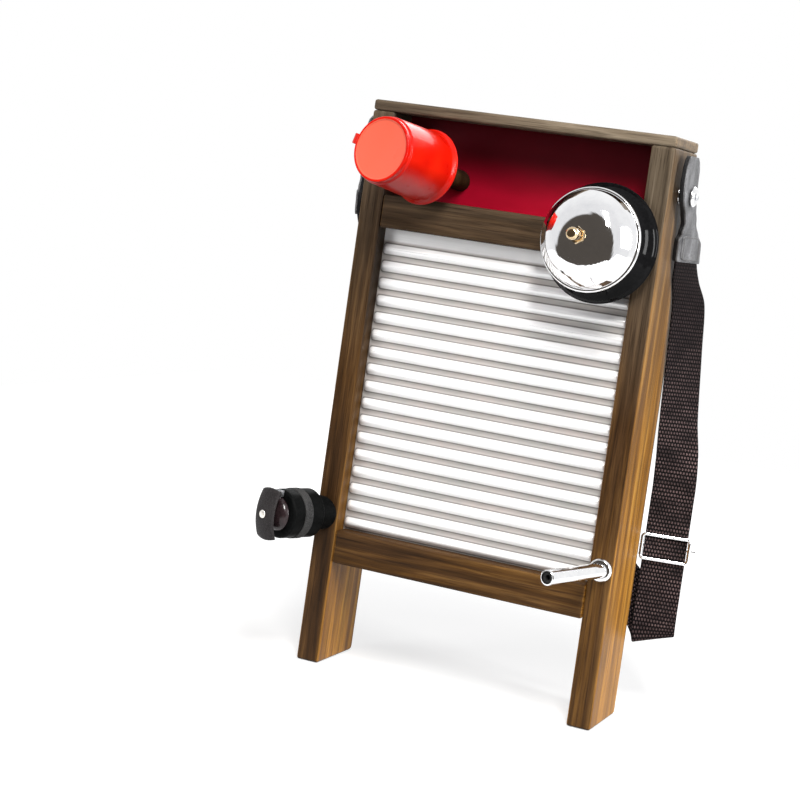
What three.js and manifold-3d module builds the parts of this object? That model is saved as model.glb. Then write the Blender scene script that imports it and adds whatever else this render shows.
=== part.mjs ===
// Washboard frottoir: a wooden frame stands on two legs and holds a pressed metal washboard plate and a
// recessed header panel. An enamel mug, a call bell, a castanet and a striking tube are bolted to it,
// and a webbing shoulder strap hangs from two buttons.
// Millimetres. X is right, Y is back, Z is up, seen from the front of the washboard plate.

import * as THREE from 'three';
import { mergeVertices } from 'three/addons/utils/BufferGeometryUtils.js';
import { RoundedBoxGeometry } from 'three/addons/geometries/RoundedBoxGeometry.js';
import Module from 'manifold-3d';

const wasm = await Module();
wasm.setup();

// Clearances
const fitGap = 0.3;
const glueLine = 0.1;
const cutOverrun = 5;

// Board
const boardWidth = 236;
const boardHeight = 430;
const boardDepth = 64;
const postThickness = 18;
const topThickness = 8;
const headerOpening = 62;
const midRailHeight = 25;
const bottomRailHeight = 25.3;
const legClearance = 78;
const railDepth = 44;
const edgeRound = 2;
const heelRound = 7;

// Grooves, dowels and top screws
const grooveDepth = 5;
const topGrooveDepth = 3;
const dowelRadius = 4;
const dowelLength = 28;
const screwRadius = 1.7;
const screwHeadRadius = 3.6;
const screwLength = 32;
const screwEdge = 12;

// Washboard plate
const sheetThickness = 0.8;
const plateSetback = 14;
const ridgeHeight = 4.5;
const ridgePitch = 13.16;
const ridgeWidth = 10.4;
const ridgeCount = 17;
const ridgeEndGap = 2;
const ridgeEndRamp = 4;

// Header panel
const panelThickness = 4;
const panelSetback = 34;

// Enamel mug
const mugDepth = 57.6;
const mugRimRadius = 28.8;
const mugMouthRadius = 26.4;
const mugBaseRadius = 25.2;
const mugWall = 1;
const mugRoll = 1.1;
const mugFlare = 5.2;
const mugFootHeight = 3.6;
const mugFootStep = 1;
const mugBaseDish = 1.6;
const mugInset = 35.2;
const mugStand = 9;
const mugDrop = 38;
const mugTurn = 14.5;
const mugLift = 7.7;
const mugBlockRadius = 8;
const mugBossRadius = 6;
const mugBossLength = 8;
const mugBoltRadius = 2.4;
const mugHandleReach = 13;
const mugHandleWidth = 8;
const mugHandleThickness = 1.6;
const mugHandleEnd = 10;
const mugHandleTurn = 12;

// Call bell
const bellInset = 25;
const bellTurn = 4.6;
const bellLift = 4.7;
const bellBaseRadius = 44;
const bellBaseHeight = 17;
const bellBaseTopRadius = 32;
const bellBaseLip = 1.4;
const bellWall = 1;
const bellDomeRadius = 37.8;
const bellDomeHeight = 26;
const bellGap = 3;
const bellPadRadius = 12;
const bellBoltReach = 5;
const pillarRadius = 5;
const pillarCollarRadius = 8;
const pillarNeckWall = 1.2;
const plungerRadius = 2.2;
const plungerKnobRadius = 4.6;
const plungerKnobLength = 8;
const plungerTravel = 3;
const domeNutRadius = 6.4;
const domeNutThickness = 2;
const hammerOut = 14;
const hammerUp = 24;
const hammerThickness = 3;
const hammerTail = 15;
const hammerRise = 4;
const strikerRadius = 3;
const hammerPinRadius = 1;
const returnSpringWire = 0.6;
const returnSpringTurns = 7;

// Striking tube
const tubeUp = 116;
const tubeTurn = 15.9;
const tubeRadius = 5.5;
const tubeWall = 1;
const tubeLength = 67;
const rosetteRadius = 8.6;
const rosetteThickness = 3;
const tubeBoltRadius = 2.2;
const footPlugLength = 12;
const endPlugLength = 8;
const endPlugRecess = 1.5;
const endPlugSocket = 2;

// Castanet
const castanetOutset = 6.3;
const castanetUp = 114;
const castanetTurn = 22;
const castanetStand = 11.3;
const castanetRadius = 18.4;
const castanetLength = 30.7;
const castanetFootRadius = 13;
const castanetChamfer = 1.2;
const bandPlace = 12;
const bandWidth = 7.7;
const bandDepth = 1.6;
const bandProud = 0.5;
const domeShellRadius = 13;
const domeShellHeight = 7.7;
const shellGap = 5;
const shellWidth = 19;
const shellHeight = 39;
const shellThickness = 2.5;
const shellBow = 4.2;
const shellCrown = 1.2;
const hingePinRadius = 1;
const hingeBarrel = 2.2;
const hingeUp = 15.6;
const hingeOut = 6;
const hingeBlockWidth = 7;
const hingeEar = 1.3;
const clapSpringWire = 0.5;
const clapSpringTurns = 3;
const rivetRadius = 3.2;
const rivetShank = 1.3;
const rivetHead = 1.1;
const castanetBoltRadius = 2.4;
const castanetBoltReach = 24;

// Nuts and washers on the back of the board
const nutRadius = 4.6;
const nutLength = 7;
const washerRadius = 6.5;
const washerThickness = 1.2;

// Strap buttons
const buttonDrop = 40.5;
const buttonBack = 27;
const buttonFlangeRadius = 6;
const buttonFlangeThickness = 1.4;
const buttonNeckRadius = 2.6;
const buttonHeadRadius = 7.6;
const buttonHeadThickness = 3;
const buttonScrewRadius = 1.3;
const buttonScrewHeadRadius = 2.6;
const buttonScrewHeadThickness = 1;
const buttonScrewReach = 12;

// Shoulder strap
const webbingWidth = 32;
const webbingThickness = 1.8;
const tabWidth = 35;
const tabLength = 76;
const tabTop = 28.5;
const tabThickness = 4.4;
const tabStand = 7;
const strapStand = 1.5;
const strapBehind = 6.5;
const strapTurn = 15;
const foldUp = 58.5;
const foldDepth = 10;
const ringsPerStation = 4;
const buckleWire = 2.8;
const buckleHeight = 21;
const buckleUp = 128;
const buckleBarRadius = 1.2;
const buckleBarOverhang = 3.4;

// Places worked out from the sizes above
const halfWidth = boardWidth / 2;
const postMiddle = halfWidth - postThickness / 2;
const openingHalf = halfWidth - postThickness;
const postHeight = boardHeight - topThickness;
const midRailTop = postHeight - headerOpening;
const midRailBottom = midRailTop - midRailHeight;
const midRailMiddle = (midRailTop + midRailBottom) / 2;
const bottomRailTop = legClearance + bottomRailHeight;
const bottomRailMiddle = (legClearance + bottomRailTop) / 2;
const plateGroove = sheetThickness + 2 * fitGap;
const panelGroove = panelThickness + 2 * fitGap;
const panelBack = panelSetback + panelThickness;
const buttonUp = boardHeight - buttonDrop;

const finishes = {
  wood: { color: 0x5d3f2a, roughness: 0.55, metalness: 0 },
  beech: { color: 0xb98a58, roughness: 0.6, metalness: 0 },
  panel: { color: 0x6d0f22, roughness: 0.4, metalness: 0 },
  plate: { color: 0xd9dbdc, roughness: 0.35, metalness: 0.9 },
  enamel: { color: 0xd81a10, roughness: 0.12, metalness: 0 },
  chrome: { color: 0xe4e6e8, roughness: 0.08, metalness: 1 },
  brass: { color: 0xb98d4a, roughness: 0.25, metalness: 1 },
  steel: { color: 0xa9acb0, roughness: 0.35, metalness: 1 },
  gloss: { color: 0x08080a, roughness: 0.12, metalness: 0 },
  matt: { color: 0x131315, roughness: 0.6, metalness: 0 },
  band: { color: 0x4e4e50, roughness: 0.8, metalness: 0 },
  leather: { color: 0x2b2b2e, roughness: 0.45, metalness: 0 },
  webbing: { color: 0x1b1819, roughness: 0.95, metalness: 0 },
};

// One indexed closed mesh: shared corners merged, empty triangles dropped, faces turned outwards
function closed(geometry) {
  const bare = geometry.clone();
  bare.deleteAttribute('normal');
  bare.deleteAttribute('uv');
  const merged = mergeVertices(bare);
  const from = merged.index.array;
  const kept = [];
  for (let i = 0; i < from.length; i += 3) {
    const [a, b, c] = [from[i], from[i + 1], from[i + 2]];
    if (a !== b && b !== c && c !== a) kept.push(a, b, c);
  }
  merged.setIndex(kept);
  if (sixVolumes(merged) < 0) merged.setIndex(kept.reverse());
  return merged;
}

function sixVolumes(geometry) {
  const place = geometry.getAttribute('position');
  const index = geometry.index.array;
  const corners = [new THREE.Vector3(), new THREE.Vector3(), new THREE.Vector3()];
  let sum = 0;
  for (let i = 0; i < index.length; i += 3) {
    corners.forEach((corner, k) => corner.fromBufferAttribute(place, index[i + k]));
    sum += corners[0].dot(corners[1].cross(corners[2]));
  }
  return sum;
}

function toSolid(geometry) {
  const whole = closed(geometry);
  return new wasm.Manifold(new wasm.Mesh({
    numProp: 3,
    vertProperties: new Float32Array(whole.getAttribute('position').array),
    triVerts: new Uint32Array(whole.index.array),
  }));
}

function fromSolid(solid) {
  const { vertProperties, triVerts } = solid.getMesh();
  const geometry = new THREE.BufferGeometry();
  geometry.setAttribute('position', new THREE.BufferAttribute(vertProperties, 3));
  geometry.setIndex(Array.from(triVerts));
  return geometry;
}

const cut = (geometry, ...tools) => fromSolid(tools.map(toSolid)
  .reduce((solid, tool) => solid.subtract(tool), toSolid(geometry)));

const joined = (...pieces) => fromSolid(pieces.map(toSolid).reduce((whole, piece) => whole.add(piece)));

// A mesh from places and corner numbers
function indexed(places, index) {
  const geometry = new THREE.BufferGeometry();
  geometry.setAttribute('position', new THREE.Float32BufferAttribute(places, 3));
  return geometry.setIndex(index);
}

// A box between two corners
function block(x0, x1, y0, y1, z0, z1) {
  const box = new THREE.BoxGeometry(x1 - x0, y1 - y0, z1 - z0);
  return box.translate((x0 + x1) / 2, (y0 + y1) / 2, (z0 + z1) / 2);
}

function roundedBoard(x0, x1, y0, y1, z0, z1) {
  const box = new RoundedBoxGeometry(x1 - x0, y1 - y0, z1 - z0, 2, edgeRound);
  return box.translate((x0 + x1) / 2, (y0 + y1) / 2, (z0 + z1) / 2);
}

// A turned piece about Z from [radius, height] points; it starts and ends on the axis or at one point
function turned(points, sides = 24) {
  const outline = points.map(([radius, height]) => new THREE.Vector2(radius, height));
  return new THREE.LatheGeometry(outline, sides).rotateX(Math.PI / 2);
}

function rod(radius, bottom, top, sides = 16) {
  return turned([[0, bottom], [radius, bottom], [radius, top], [0, top]], sides);
}

function tube(radius, bore, bottom, top, sides = 24) {
  return turned([[bore, bottom], [radius, bottom], [radius, top], [bore, top], [bore, bottom]], sides);
}

// Outline points from shares of a radius and a height, above a base
const shared = (shares, radius, height, base = 0) => shares
  .map(([out, up]) => [radius * out, base + height * up]);

// +Z of a turned piece becomes +Y, or +X
const backwards = (geometry) => geometry.rotateX(-Math.PI / 2);
const sideways = (geometry) => geometry.rotateY(Math.PI / 2);

class Coil extends THREE.Curve {
  constructor(radius, bottom, top, turns) {
    super();
    Object.assign(this, { radius, bottom, top, turns });
  }

  getPoint(t, target = new THREE.Vector3()) {
    const angle = 2 * Math.PI * this.turns * t;
    const height = this.bottom + (this.top - this.bottom) * t;
    return target.set(this.radius * Math.cos(angle), this.radius * Math.sin(angle), height);
  }
}

// A coil spring about Z whose wire fills the space between its two ends
function coilSpring(outside, wire, bottom, top, turns) {
  const half = wire / 2;
  const section = new THREE.Shape(Array.from({ length: 5 }, (_, i) => new THREE.Vector2(
    half * Math.cos((2 * Math.PI * i) / 5), half * Math.sin((2 * Math.PI * i) / 5))));
  const extrudePath = new Coil(outside - half, bottom + half, top - half, turns);
  return new THREE.ExtrudeGeometry(section, { extrudePath, steps: 8 * turns, bevelEnabled: false });
}

function piece(name, geometry, finish, parent) {
  const mesh = new THREE.Mesh(closed(geometry), new THREE.MeshStandardMaterial(finishes[finish]));
  mesh.name = name;
  parent.add(mesh);
}

const board = new THREE.Group();
const sides = { left: -1, right: 1 };

// A group whose +Z points out of the front of the board, turned left and lifted by degrees
function facing(x, y, z, turn = 0, lift = 0) {
  const left = THREE.MathUtils.degToRad(turn);
  const up = THREE.MathUtils.degToRad(lift);
  const out = new THREE.Vector3(-Math.sin(left) * Math.cos(up), -Math.cos(left) * Math.cos(up), Math.sin(up));
  const across = new THREE.Vector3(Math.cos(left), -Math.sin(left), 0);
  const axes = new THREE.Matrix4().makeBasis(across, out.clone().cross(across), out);
  const group = new THREE.Group();
  group.quaternion.setFromRotationMatrix(axes);
  group.position.set(x, y, z);
  group.updateMatrix();
  board.add(group);
  return group;
}

// A cutting solid given in board places, brought into a group's own frame
const brought = (group, geometry) => geometry.applyMatrix4(group.matrix.clone().invert());

// Everything behind, or in front of, a plane across the board
const behindOf = (y) => block(-boardWidth, boardWidth, y, y + 2 * boardHeight, -boardHeight, 2 * boardHeight);
const frontOf = (y) => block(-boardWidth, boardWidth, y - 2 * boardHeight, y, -boardHeight, 2 * boardHeight);

// How far along a group's axis a plane across the board lies
const planePlace = (group, y) => (y - group.position.y) / group.matrix.elements[9];

// How far a disc of this radius in a group reaches beyond its middle, across the board's planes
const slant = (group, radius) => radius * Math.sqrt(1 / group.matrix.elements[9] ** 2 - 1);

const domedNutShares = [[0, 0], [0.55, 0.08], [0.86, 0.32], [1, 0.58], [1, 1]];

// A bolt put in from behind: its washer is tapered to lie flat on the wood, its head is a domed nut
function backBolt(name, group, backPlane, radius, tip) {
  const seat = planePlace(group, backPlane + fitGap) - slant(group, washerRadius);
  const ring = tube(washerRadius, radius + fitGap, seat - washerThickness, 0, 20);
  piece(`${name}_washer`, cut(ring, brought(group, frontOf(backPlane + fitGap))), 'steel', group);
  const top = seat - washerThickness - fitGap;
  const outline = shared(domedNutShares, nutRadius, nutLength, top - nutLength);
  piece(`${name}_bolt`, turned([...outline, [radius, top], [radius, tip], [0, tip]], 16), 'steel', group);
}

// Posts

// The groove that holds the plate or the panel, from inside the opening into the post
function postGroove(side, setback, width, z0, z1) {
  const edges = [side * (openingHalf - cutOverrun), side * (openingHalf + grooveDepth)];
  return block(Math.min(...edges), Math.max(...edges), setback - fitGap, setback - fitGap + width, z0, z1);
}

// A dowel across the joint of a rail and a post
const dowelRows = { upper: midRailMiddle, lower: bottomRailMiddle };

function dowel(side, up, gap = 0) {
  const end = dowelLength / 2 + gap;
  return sideways(rod(dowelRadius + gap, -end, end, 12)).translate(side * openingHalf, railDepth / 2, up);
}

const dowelHoles = (side) => Object.values(dowelRows).map((up) => dowel(side, up, fitGap));

// A countersunk screw down through the top board into a post, or its hole
const screwRows = { front: screwEdge, back: boardDepth - screwEdge };

function topScrew(side, back, gap = 0, over = 0) {
  const outline = [[0, -screwLength - gap], [screwRadius + gap, screwRadius - screwLength],
    [screwRadius + gap, screwRadius - screwHeadRadius], [screwHeadRadius + gap, 0],
    [screwHeadRadius + gap, over], [0, over]];
  return turned(outline, 12).translate(side * postMiddle, back, boardHeight - fitGap);
}

const topScrewHoles = (side) => Object.values(screwRows)
  .map((back) => topScrew(side, back, fitGap, cutOverrun));

// The lower back corner of a post is rounded off
function heelCut(side) {
  const edges = [side * (openingHalf - cutOverrun), side * (halfWidth + cutOverrun)];
  const [x0, x1] = [Math.min(...edges), Math.max(...edges)];
  const corner = block(x0, x1, boardDepth - heelRound, boardDepth + cutOverrun, -cutOverrun, heelRound);
  const round = sideways(rod(heelRound, x0 - cutOverrun, x1 + cutOverrun, 32))
    .translate(0, boardDepth - heelRound, heelRound);
  return cut(corner, round);
}

// Sideways out of a post at its strap button
const outwards = (geometry, side) => geometry.rotateY((side * Math.PI) / 2)
  .translate(side * halfWidth, buttonBack, buttonUp);

function post(name, side, boltUp, boltRadius) {
  const middle = side * postMiddle;
  const body = roundedBoard(middle - postThickness / 2, middle + postThickness / 2, 0, boardDepth,
    0, postHeight - glueLine);
  const boltHole = backwards(rod(boltRadius + fitGap, -cutOverrun, boardDepth + cutOverrun))
    .translate(middle, 0, boltUp);
  piece(name, cut(body, heelCut(side), ...dowelHoles(side), ...topScrewHoles(side),
    postGroove(side, plateSetback, plateGroove, bottomRailTop - grooveDepth, midRailBottom + grooveDepth),
    postGroove(side, panelSetback, panelGroove, midRailTop - grooveDepth, postHeight + cutOverrun),
    boltHole, outwards(rod(buttonScrewRadius + fitGap, -buttonScrewReach - fitGap, cutOverrun), side)),
  'wood', board);
}

post('left_post', sides.left, castanetUp, castanetBoltRadius);
post('right_post', sides.right, tubeUp, tubeBoltRadius);

// Top board and rails
function topBoard() {
  const groove = block(-openingHalf - grooveDepth, openingHalf + grooveDepth, panelSetback - fitGap,
    panelSetback - fitGap + panelGroove, postHeight - cutOverrun, postHeight + topGrooveDepth);
  const body = roundedBoard(-halfWidth, halfWidth, 0, boardDepth, postHeight, boardHeight);
  piece('top_board', cut(body, groove, ...topScrewHoles(-1), ...topScrewHoles(1)), 'wood', board);
}

function rail(name, z0, z1, ...cuts) {
  const end = openingHalf - glueLine;
  const body = roundedBoard(-end, end, 0, railDepth, z0, z1);
  piece(name, cut(body, ...dowelHoles(-1), ...dowelHoles(1), ...cuts), 'wood', board);
}

const railGroove = (setback, width, z0, z1) => block(-halfWidth, halfWidth, setback - fitGap,
  setback - fitGap + width, z0, z1);

// The tilted bell stands just far enough out for its rim to clear the rail
const bellStand = bellBaseRadius * Math.sin(THREE.MathUtils.degToRad(bellTurn))
  + (midRailHeight / 2) * Math.sin(THREE.MathUtils.degToRad(bellLift)) + fitGap;
const bell = facing(openingHalf - bellInset, -bellStand, midRailMiddle, bellTurn, bellLift);
const bellBoltHole = rod(plungerRadius + fitGap, -2 * boardDepth, boardDepth).applyMatrix4(bell.matrix);

topBoard();
rail('mid_rail', midRailBottom, midRailTop, bellBoltHole,
  railGroove(panelSetback, panelGroove, midRailTop - grooveDepth, midRailTop + cutOverrun),
  railGroove(plateSetback, plateGroove, midRailBottom - cutOverrun, midRailBottom + grooveDepth));
rail('bottom_rail', legClearance, bottomRailTop,
  railGroove(plateSetback, plateGroove, bottomRailTop - grooveDepth, bottomRailTop + cutOverrun));

for (const [sideName, side] of Object.entries(sides)) {
  for (const [row, up] of Object.entries(dowelRows)) {
    piece(`dowel_${row}_${sideName}`, dowel(side, up), 'beech', board);
  }
  for (const [row, back] of Object.entries(screwRows)) {
    piece(`top_screw_${row}_${sideName}`, topScrew(side, back), 'steel', board);
  }
}

// A closed sheet from two grids of places, the front grid first, each row running across
function sheet(places, wide, tall) {
  const index = [];
  const layer = wide * tall;
  const quad = (a, b, c, d) => index.push(a, b, c, a, c, d);
  for (let j = 0; j < tall - 1; j += 1) {
    for (let i = 0; i < wide - 1; i += 1) {
      const a = j * wide + i;
      quad(a, a + 1, a + 1 + wide, a + wide);
      quad(a + layer, a + wide + layer, a + 1 + wide + layer, a + 1 + layer);
    }
  }
  for (let i = 0; i < wide - 1; i += 1) {
    const top = layer - wide + i;
    quad(i, i + layer, i + 1 + layer, i + 1);
    quad(top, top + 1, top + 1 + layer, top + layer);
  }
  for (let left = 0; left < layer - wide; left += wide) {
    const right = left + wide - 1;
    quad(left, left + wide, left + wide + layer, left + layer);
    quad(right, right + layer, right + wide + layer, right + wide);
  }
  return indexed(places, index);
}

// Washboard plate: one pressed sheet, flat at its edges, its ridges running out before the posts
function washboardPlate() {
  const ridgeShares = [0, 0.45, 0.84, 1, 0.84, 0.45, 0];
  const endShares = [[0, 0], [0.6, 0.75], [1, 1]];
  const ridgeEnd = openingHalf - ridgeEndGap;
  const rightHalf = [...endShares.map(([along, rise]) => [ridgeEnd - along * ridgeEndRamp, rise]).reverse(),
    [openingHalf + grooveDepth - fitGap, 0]];
  const columns = [...rightHalf.map(([x, rise]) => [-x, rise]).reverse(), ...rightHalf];
  const rows = [[bottomRailTop - grooveDepth + fitGap, 0]];
  for (let i = 0; i < ridgeCount; i += 1) {
    const start = bottomRailTop + fitGap + i * ridgePitch;
    ridgeShares.forEach((rise, k) => rows.push([start + (k * ridgeWidth) / (ridgeShares.length - 1), rise]));
  }
  rows.push([midRailBottom + grooveDepth - fitGap, 0]);
  const places = [0, sheetThickness].flatMap((back) => rows.flatMap(([z, lift]) => columns
    .flatMap(([x, rise]) => [x, plateSetback - ridgeHeight * lift * rise + back, z])));
  piece('washboard_plate', sheet(places, columns.length, rows.length), 'plate', board);
}

washboardPlate();

// Enamel mug, its mouth towards the header panel, bolted through a round block behind it
const mug = facing(mugInset - openingHalf, -mugStand, postHeight - mugDrop, mugTurn, mugLift);

function headerPanel() {
  const reach = openingHalf + grooveDepth - fitGap;
  const body = block(-reach, reach, panelSetback, panelBack,
    midRailTop - grooveDepth + fitGap, postHeight + topGrooveDepth - fitGap);
  const hole = rod(mugBoltRadius + fitGap, -2 * boardDepth, 0).applyMatrix4(mug.matrix);
  piece('header_panel', cut(body, hole), 'panel', board);
}

function mugBody() {
  const floorOutside = mugDepth - mugBaseDish;
  const floorInside = floorOutside - mugWall;
  const footRadius = mugBaseRadius - mugFootStep;
  const outline = [
    [0, floorInside], [mugBaseRadius - 2.5 * mugWall, floorInside],
    [mugBaseRadius - mugWall, floorInside - 1.5 * mugWall], [mugMouthRadius - mugWall, mugFlare],
    [mugRimRadius - 2 * mugRoll, mugRoll], [mugRimRadius - mugRoll, 0], [mugRimRadius, mugRoll],
    [mugRimRadius - mugRoll, 2 * mugRoll], [mugMouthRadius, mugFlare],
    [mugBaseRadius, mugDepth - mugFootHeight - mugFootStep], [footRadius, mugDepth - mugFootHeight],
    [footRadius, mugDepth - mugFootStep / 2], [footRadius - mugFootStep / 2, mugDepth],
    [footRadius - 2 * mugFootStep, mugDepth], [footRadius - 3 * mugFootStep, floorOutside], [0, floorOutside],
  ];
  piece('mug_body', turned(outline, 36), 'enamel', mug);
  return floorInside;
}

// A strip bent into a D, its two ends against the wall of the mug
function mugHandle() {
  const [low, high] = [mugHandleEnd, mugDepth - mugHandleEnd];
  const wallAt = (z) => mugMouthRadius + (mugBaseRadius - mugMouthRadius) * (z / mugDepth) + fitGap;
  const side = (inset) => {
    const out = wallAt(low) + mugHandleReach - inset;
    const line = new THREE.Shape();
    line.moveTo(wallAt(high), high - inset);
    line.bezierCurveTo(out, high - inset, out, high - inset, out, (high + low) / 2);
    line.bezierCurveTo(out, low + inset, out, low + inset, wallAt(low), low + inset);
    return line.getPoints(7);
  };
  const loop = new THREE.Shape([...side(0), ...side(mugHandleThickness).reverse()]);
  const strip = new THREE.ExtrudeGeometry(loop, { depth: mugHandleWidth, bevelEnabled: false });
  strip.translate(0, 0, -mugHandleWidth / 2).rotateX(Math.PI / 2)
    .rotateZ(Math.PI - THREE.MathUtils.degToRad(mugHandleTurn));
  piece('mug_handle', strip, 'enamel', mug);
}

function mugFixing(floorInside) {
  const bossTop = floorInside - fitGap;
  const bossBottom = bossTop - mugBossLength;
  const bolt = mugBoltRadius + fitGap;
  const reach = 2 * boardDepth;
  piece('mug_boss', tube(mugBossRadius, bolt, bossBottom, bossTop, 20), 'steel', mug);
  const body = cut(rod(mugBlockRadius, -reach, bossBottom - fitGap, 24), rod(bolt, -2 * reach, reach),
    brought(mug, behindOf(panelSetback - fitGap)));
  piece('mug_block', body, 'wood', mug);
  backBolt('mug', mug, panelBack, mugBoltRadius, bossTop - fitGap);
}

headerPanel();
mugFixing(mugBody());
mugHandle();

// Call bell on the mid rail
const bellRim = bellBaseHeight + bellGap;
const bellPeak = bellRim + bellDomeHeight;
const pillarBore = plungerRadius + fitGap;
const pillarNeck = pillarBore + pillarNeckWall;

function bellBase() {
  const flareShares = [[0.945, 0.22], [0.85, 0.45], [0.78, 0.72], [0.745, 0.94]];
  const outer = shared(flareShares, bellBaseRadius, bellBaseHeight);
  const inner = outer.map(([radius, height]) => [radius - bellWall, height - bellWall]).reverse();
  const hole = pillarRadius + fitGap;
  const outline = [
    [bellBaseRadius - bellWall, 0], [bellBaseRadius, bellBaseLip / 2],
    [bellBaseRadius - bellWall, bellBaseLip],
    ...outer, [bellBaseTopRadius - bellWall, bellBaseHeight], [hole, bellBaseHeight],
    [hole, bellBaseHeight - bellWall], [bellBaseTopRadius - 2 * bellWall, bellBaseHeight - bellWall],
    ...inner, [bellBaseRadius - 2 * bellWall, bellBaseLip / 2], [bellBaseRadius - bellWall, 0],
  ];
  piece('bell_base', turned(outline, 36), 'gloss', bell);
}

function bellDome() {
  const domeShares = [[0.985, 0.14], [0.93, 0.4], [0.8, 0.65], [0.6, 0.84], [0.36, 0.95], [0.17, 1]];
  const outer = shared(domeShares, bellDomeRadius, bellDomeHeight, bellRim);
  const inner = outer.map(([radius, height]) => [radius - bellWall, height - bellWall]).reverse();
  const hole = pillarNeck + fitGap;
  const outline = [
    [bellDomeRadius - bellWall / 2, bellRim], [bellDomeRadius, bellRim + bellWall], ...outer,
    [hole, bellPeak], [hole, bellPeak - bellWall], ...inner,
    [bellDomeRadius - 1.5 * bellWall, bellRim + bellWall], [bellDomeRadius - bellWall / 2, bellRim],
  ];
  piece('bell_dome', turned(outline, 36), 'chrome', bell);
}

// The hollow pillar stands on a tapered pad, holds the base down with its collar and carries the dome
function bellPillar() {
  const collar = bellBaseHeight + fitGap;
  const shoulder = bellPeak - bellWall - fitGap;
  const nutBottom = bellPeak + fitGap;
  const nutTop = nutBottom + domeNutThickness;
  const body = turned([[pillarBore, 0], [pillarRadius, 0], [pillarRadius, collar],
    [pillarCollarRadius, collar],
    [pillarCollarRadius, collar + bellWall], [pillarRadius, collar + bellWall], [pillarRadius, shoulder],
    [pillarNeck, shoulder], [pillarNeck, nutTop], [pillarBore, nutTop], [pillarBore, 0]], 20);
  const slot = hammerThickness / 2 + fitGap;
  const window = block(0, 2 * pillarRadius, -slot, slot,
    hammerUp - hammerThickness / 2 - plungerTravel - 2 * fitGap, hammerUp + hammerThickness / 2 + 2 * fitGap);
  piece('bell_pillar', cut(body, window), 'steel', bell);
  const nutShares = [[0, 0], [1, 0], [0.94, 1], [0, 1]];
  const nut = cut(turned(shared(nutShares, domeNutRadius, domeNutThickness, nutBottom), 6),
    rod(pillarNeck + fitGap, nutBottom - cutOverrun, nutTop + cutOverrun, 24));
  piece('bell_dome_nut', nut, 'brass', bell);
  const pad = cut(tube(bellPadRadius, pillarBore, -boardDepth, -fitGap, 28),
    brought(bell, behindOf(-fitGap)));
  piece('bell_pad', pad, 'matt', bell);
  return nutTop;
}

function bellPlunger(nutTop) {
  const tip = hammerUp + hammerThickness / 2 + fitGap;
  const knob = nutTop + plungerTravel + fitGap;
  const knobShares = [[0.72, 0], [1, 0.2], [1, 0.62], [0.8, 0.9], [0, 1]];
  const outline = shared(knobShares, plungerKnobRadius, plungerKnobLength, knob);
  piece('bell_plunger', turned([[0, tip], [plungerRadius, tip], [plungerRadius, knob], ...outline], 20),
    'brass', bell);
}

// A rocking hammer on a bracket: the plunger tips its nose down, its striker swings up to the dome
function bellHammer() {
  const half = hammerThickness / 2;
  const acrossPin = (geometry) => geometry.rotateX(Math.PI / 2).translate(hammerOut, 0, hammerUp);
  const arm = block(-half, hammerOut + hammerTail, -half, half, hammerUp - half, hammerUp + half);
  const finger = block(hammerOut + hammerTail - half, hammerOut + hammerTail + half, -half, half,
    hammerUp - half, hammerUp + hammerRise);
  const striker = new THREE.SphereGeometry(strikerRadius, 14, 10)
    .translate(hammerOut + hammerTail, 0, hammerUp + hammerRise);
  const eye = acrossPin(rod(hammerThickness, -half, half));
  const hole = () => acrossPin(rod(hammerPinRadius + fitGap, -4 * half, 4 * half));
  piece('bell_hammer', cut(joined(arm, finger, striker, eye), hole()), 'steel', bell);

  const [inner, outer] = [half + fitGap, half + fitGap + bellWall];
  const bottom = bellBaseHeight + fitGap;
  const top = hammerUp + hammerThickness;
  const section = new THREE.Shape([[-outer, bottom], [outer, bottom], [outer, top], [inner, top],
    [inner, bottom + bellWall], [-inner, bottom + bellWall], [-inner, top], [-outer, top]]
    .map(([y, z]) => new THREE.Vector2(y, z)));
  const bracket = new THREE.ExtrudeGeometry(section, { depth: 2 * hammerThickness, bevelEnabled: false });
  bracket.rotateX(Math.PI / 2).rotateZ(Math.PI / 2).translate(hammerOut - hammerThickness, 0, 0);
  piece('bell_bracket', cut(bracket, hole()), 'steel', bell);
  piece('bell_hammer_pin', acrossPin(rod(hammerPinRadius, -outer - fitGap, outer + fitGap)), 'steel', bell);
  const springTop = hammerUp - half - plungerTravel - 3 * fitGap;
  piece('bell_return_spring', coilSpring(plungerRadius, returnSpringWire, bellBoltReach + fitGap, springTop,
    returnSpringTurns), 'steel', bell);
}

bellBase();
bellDome();
bellPlunger(bellPillar());
bellHammer();
backBolt('bell', bell, railDepth, plungerRadius, bellBoltReach);

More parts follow.
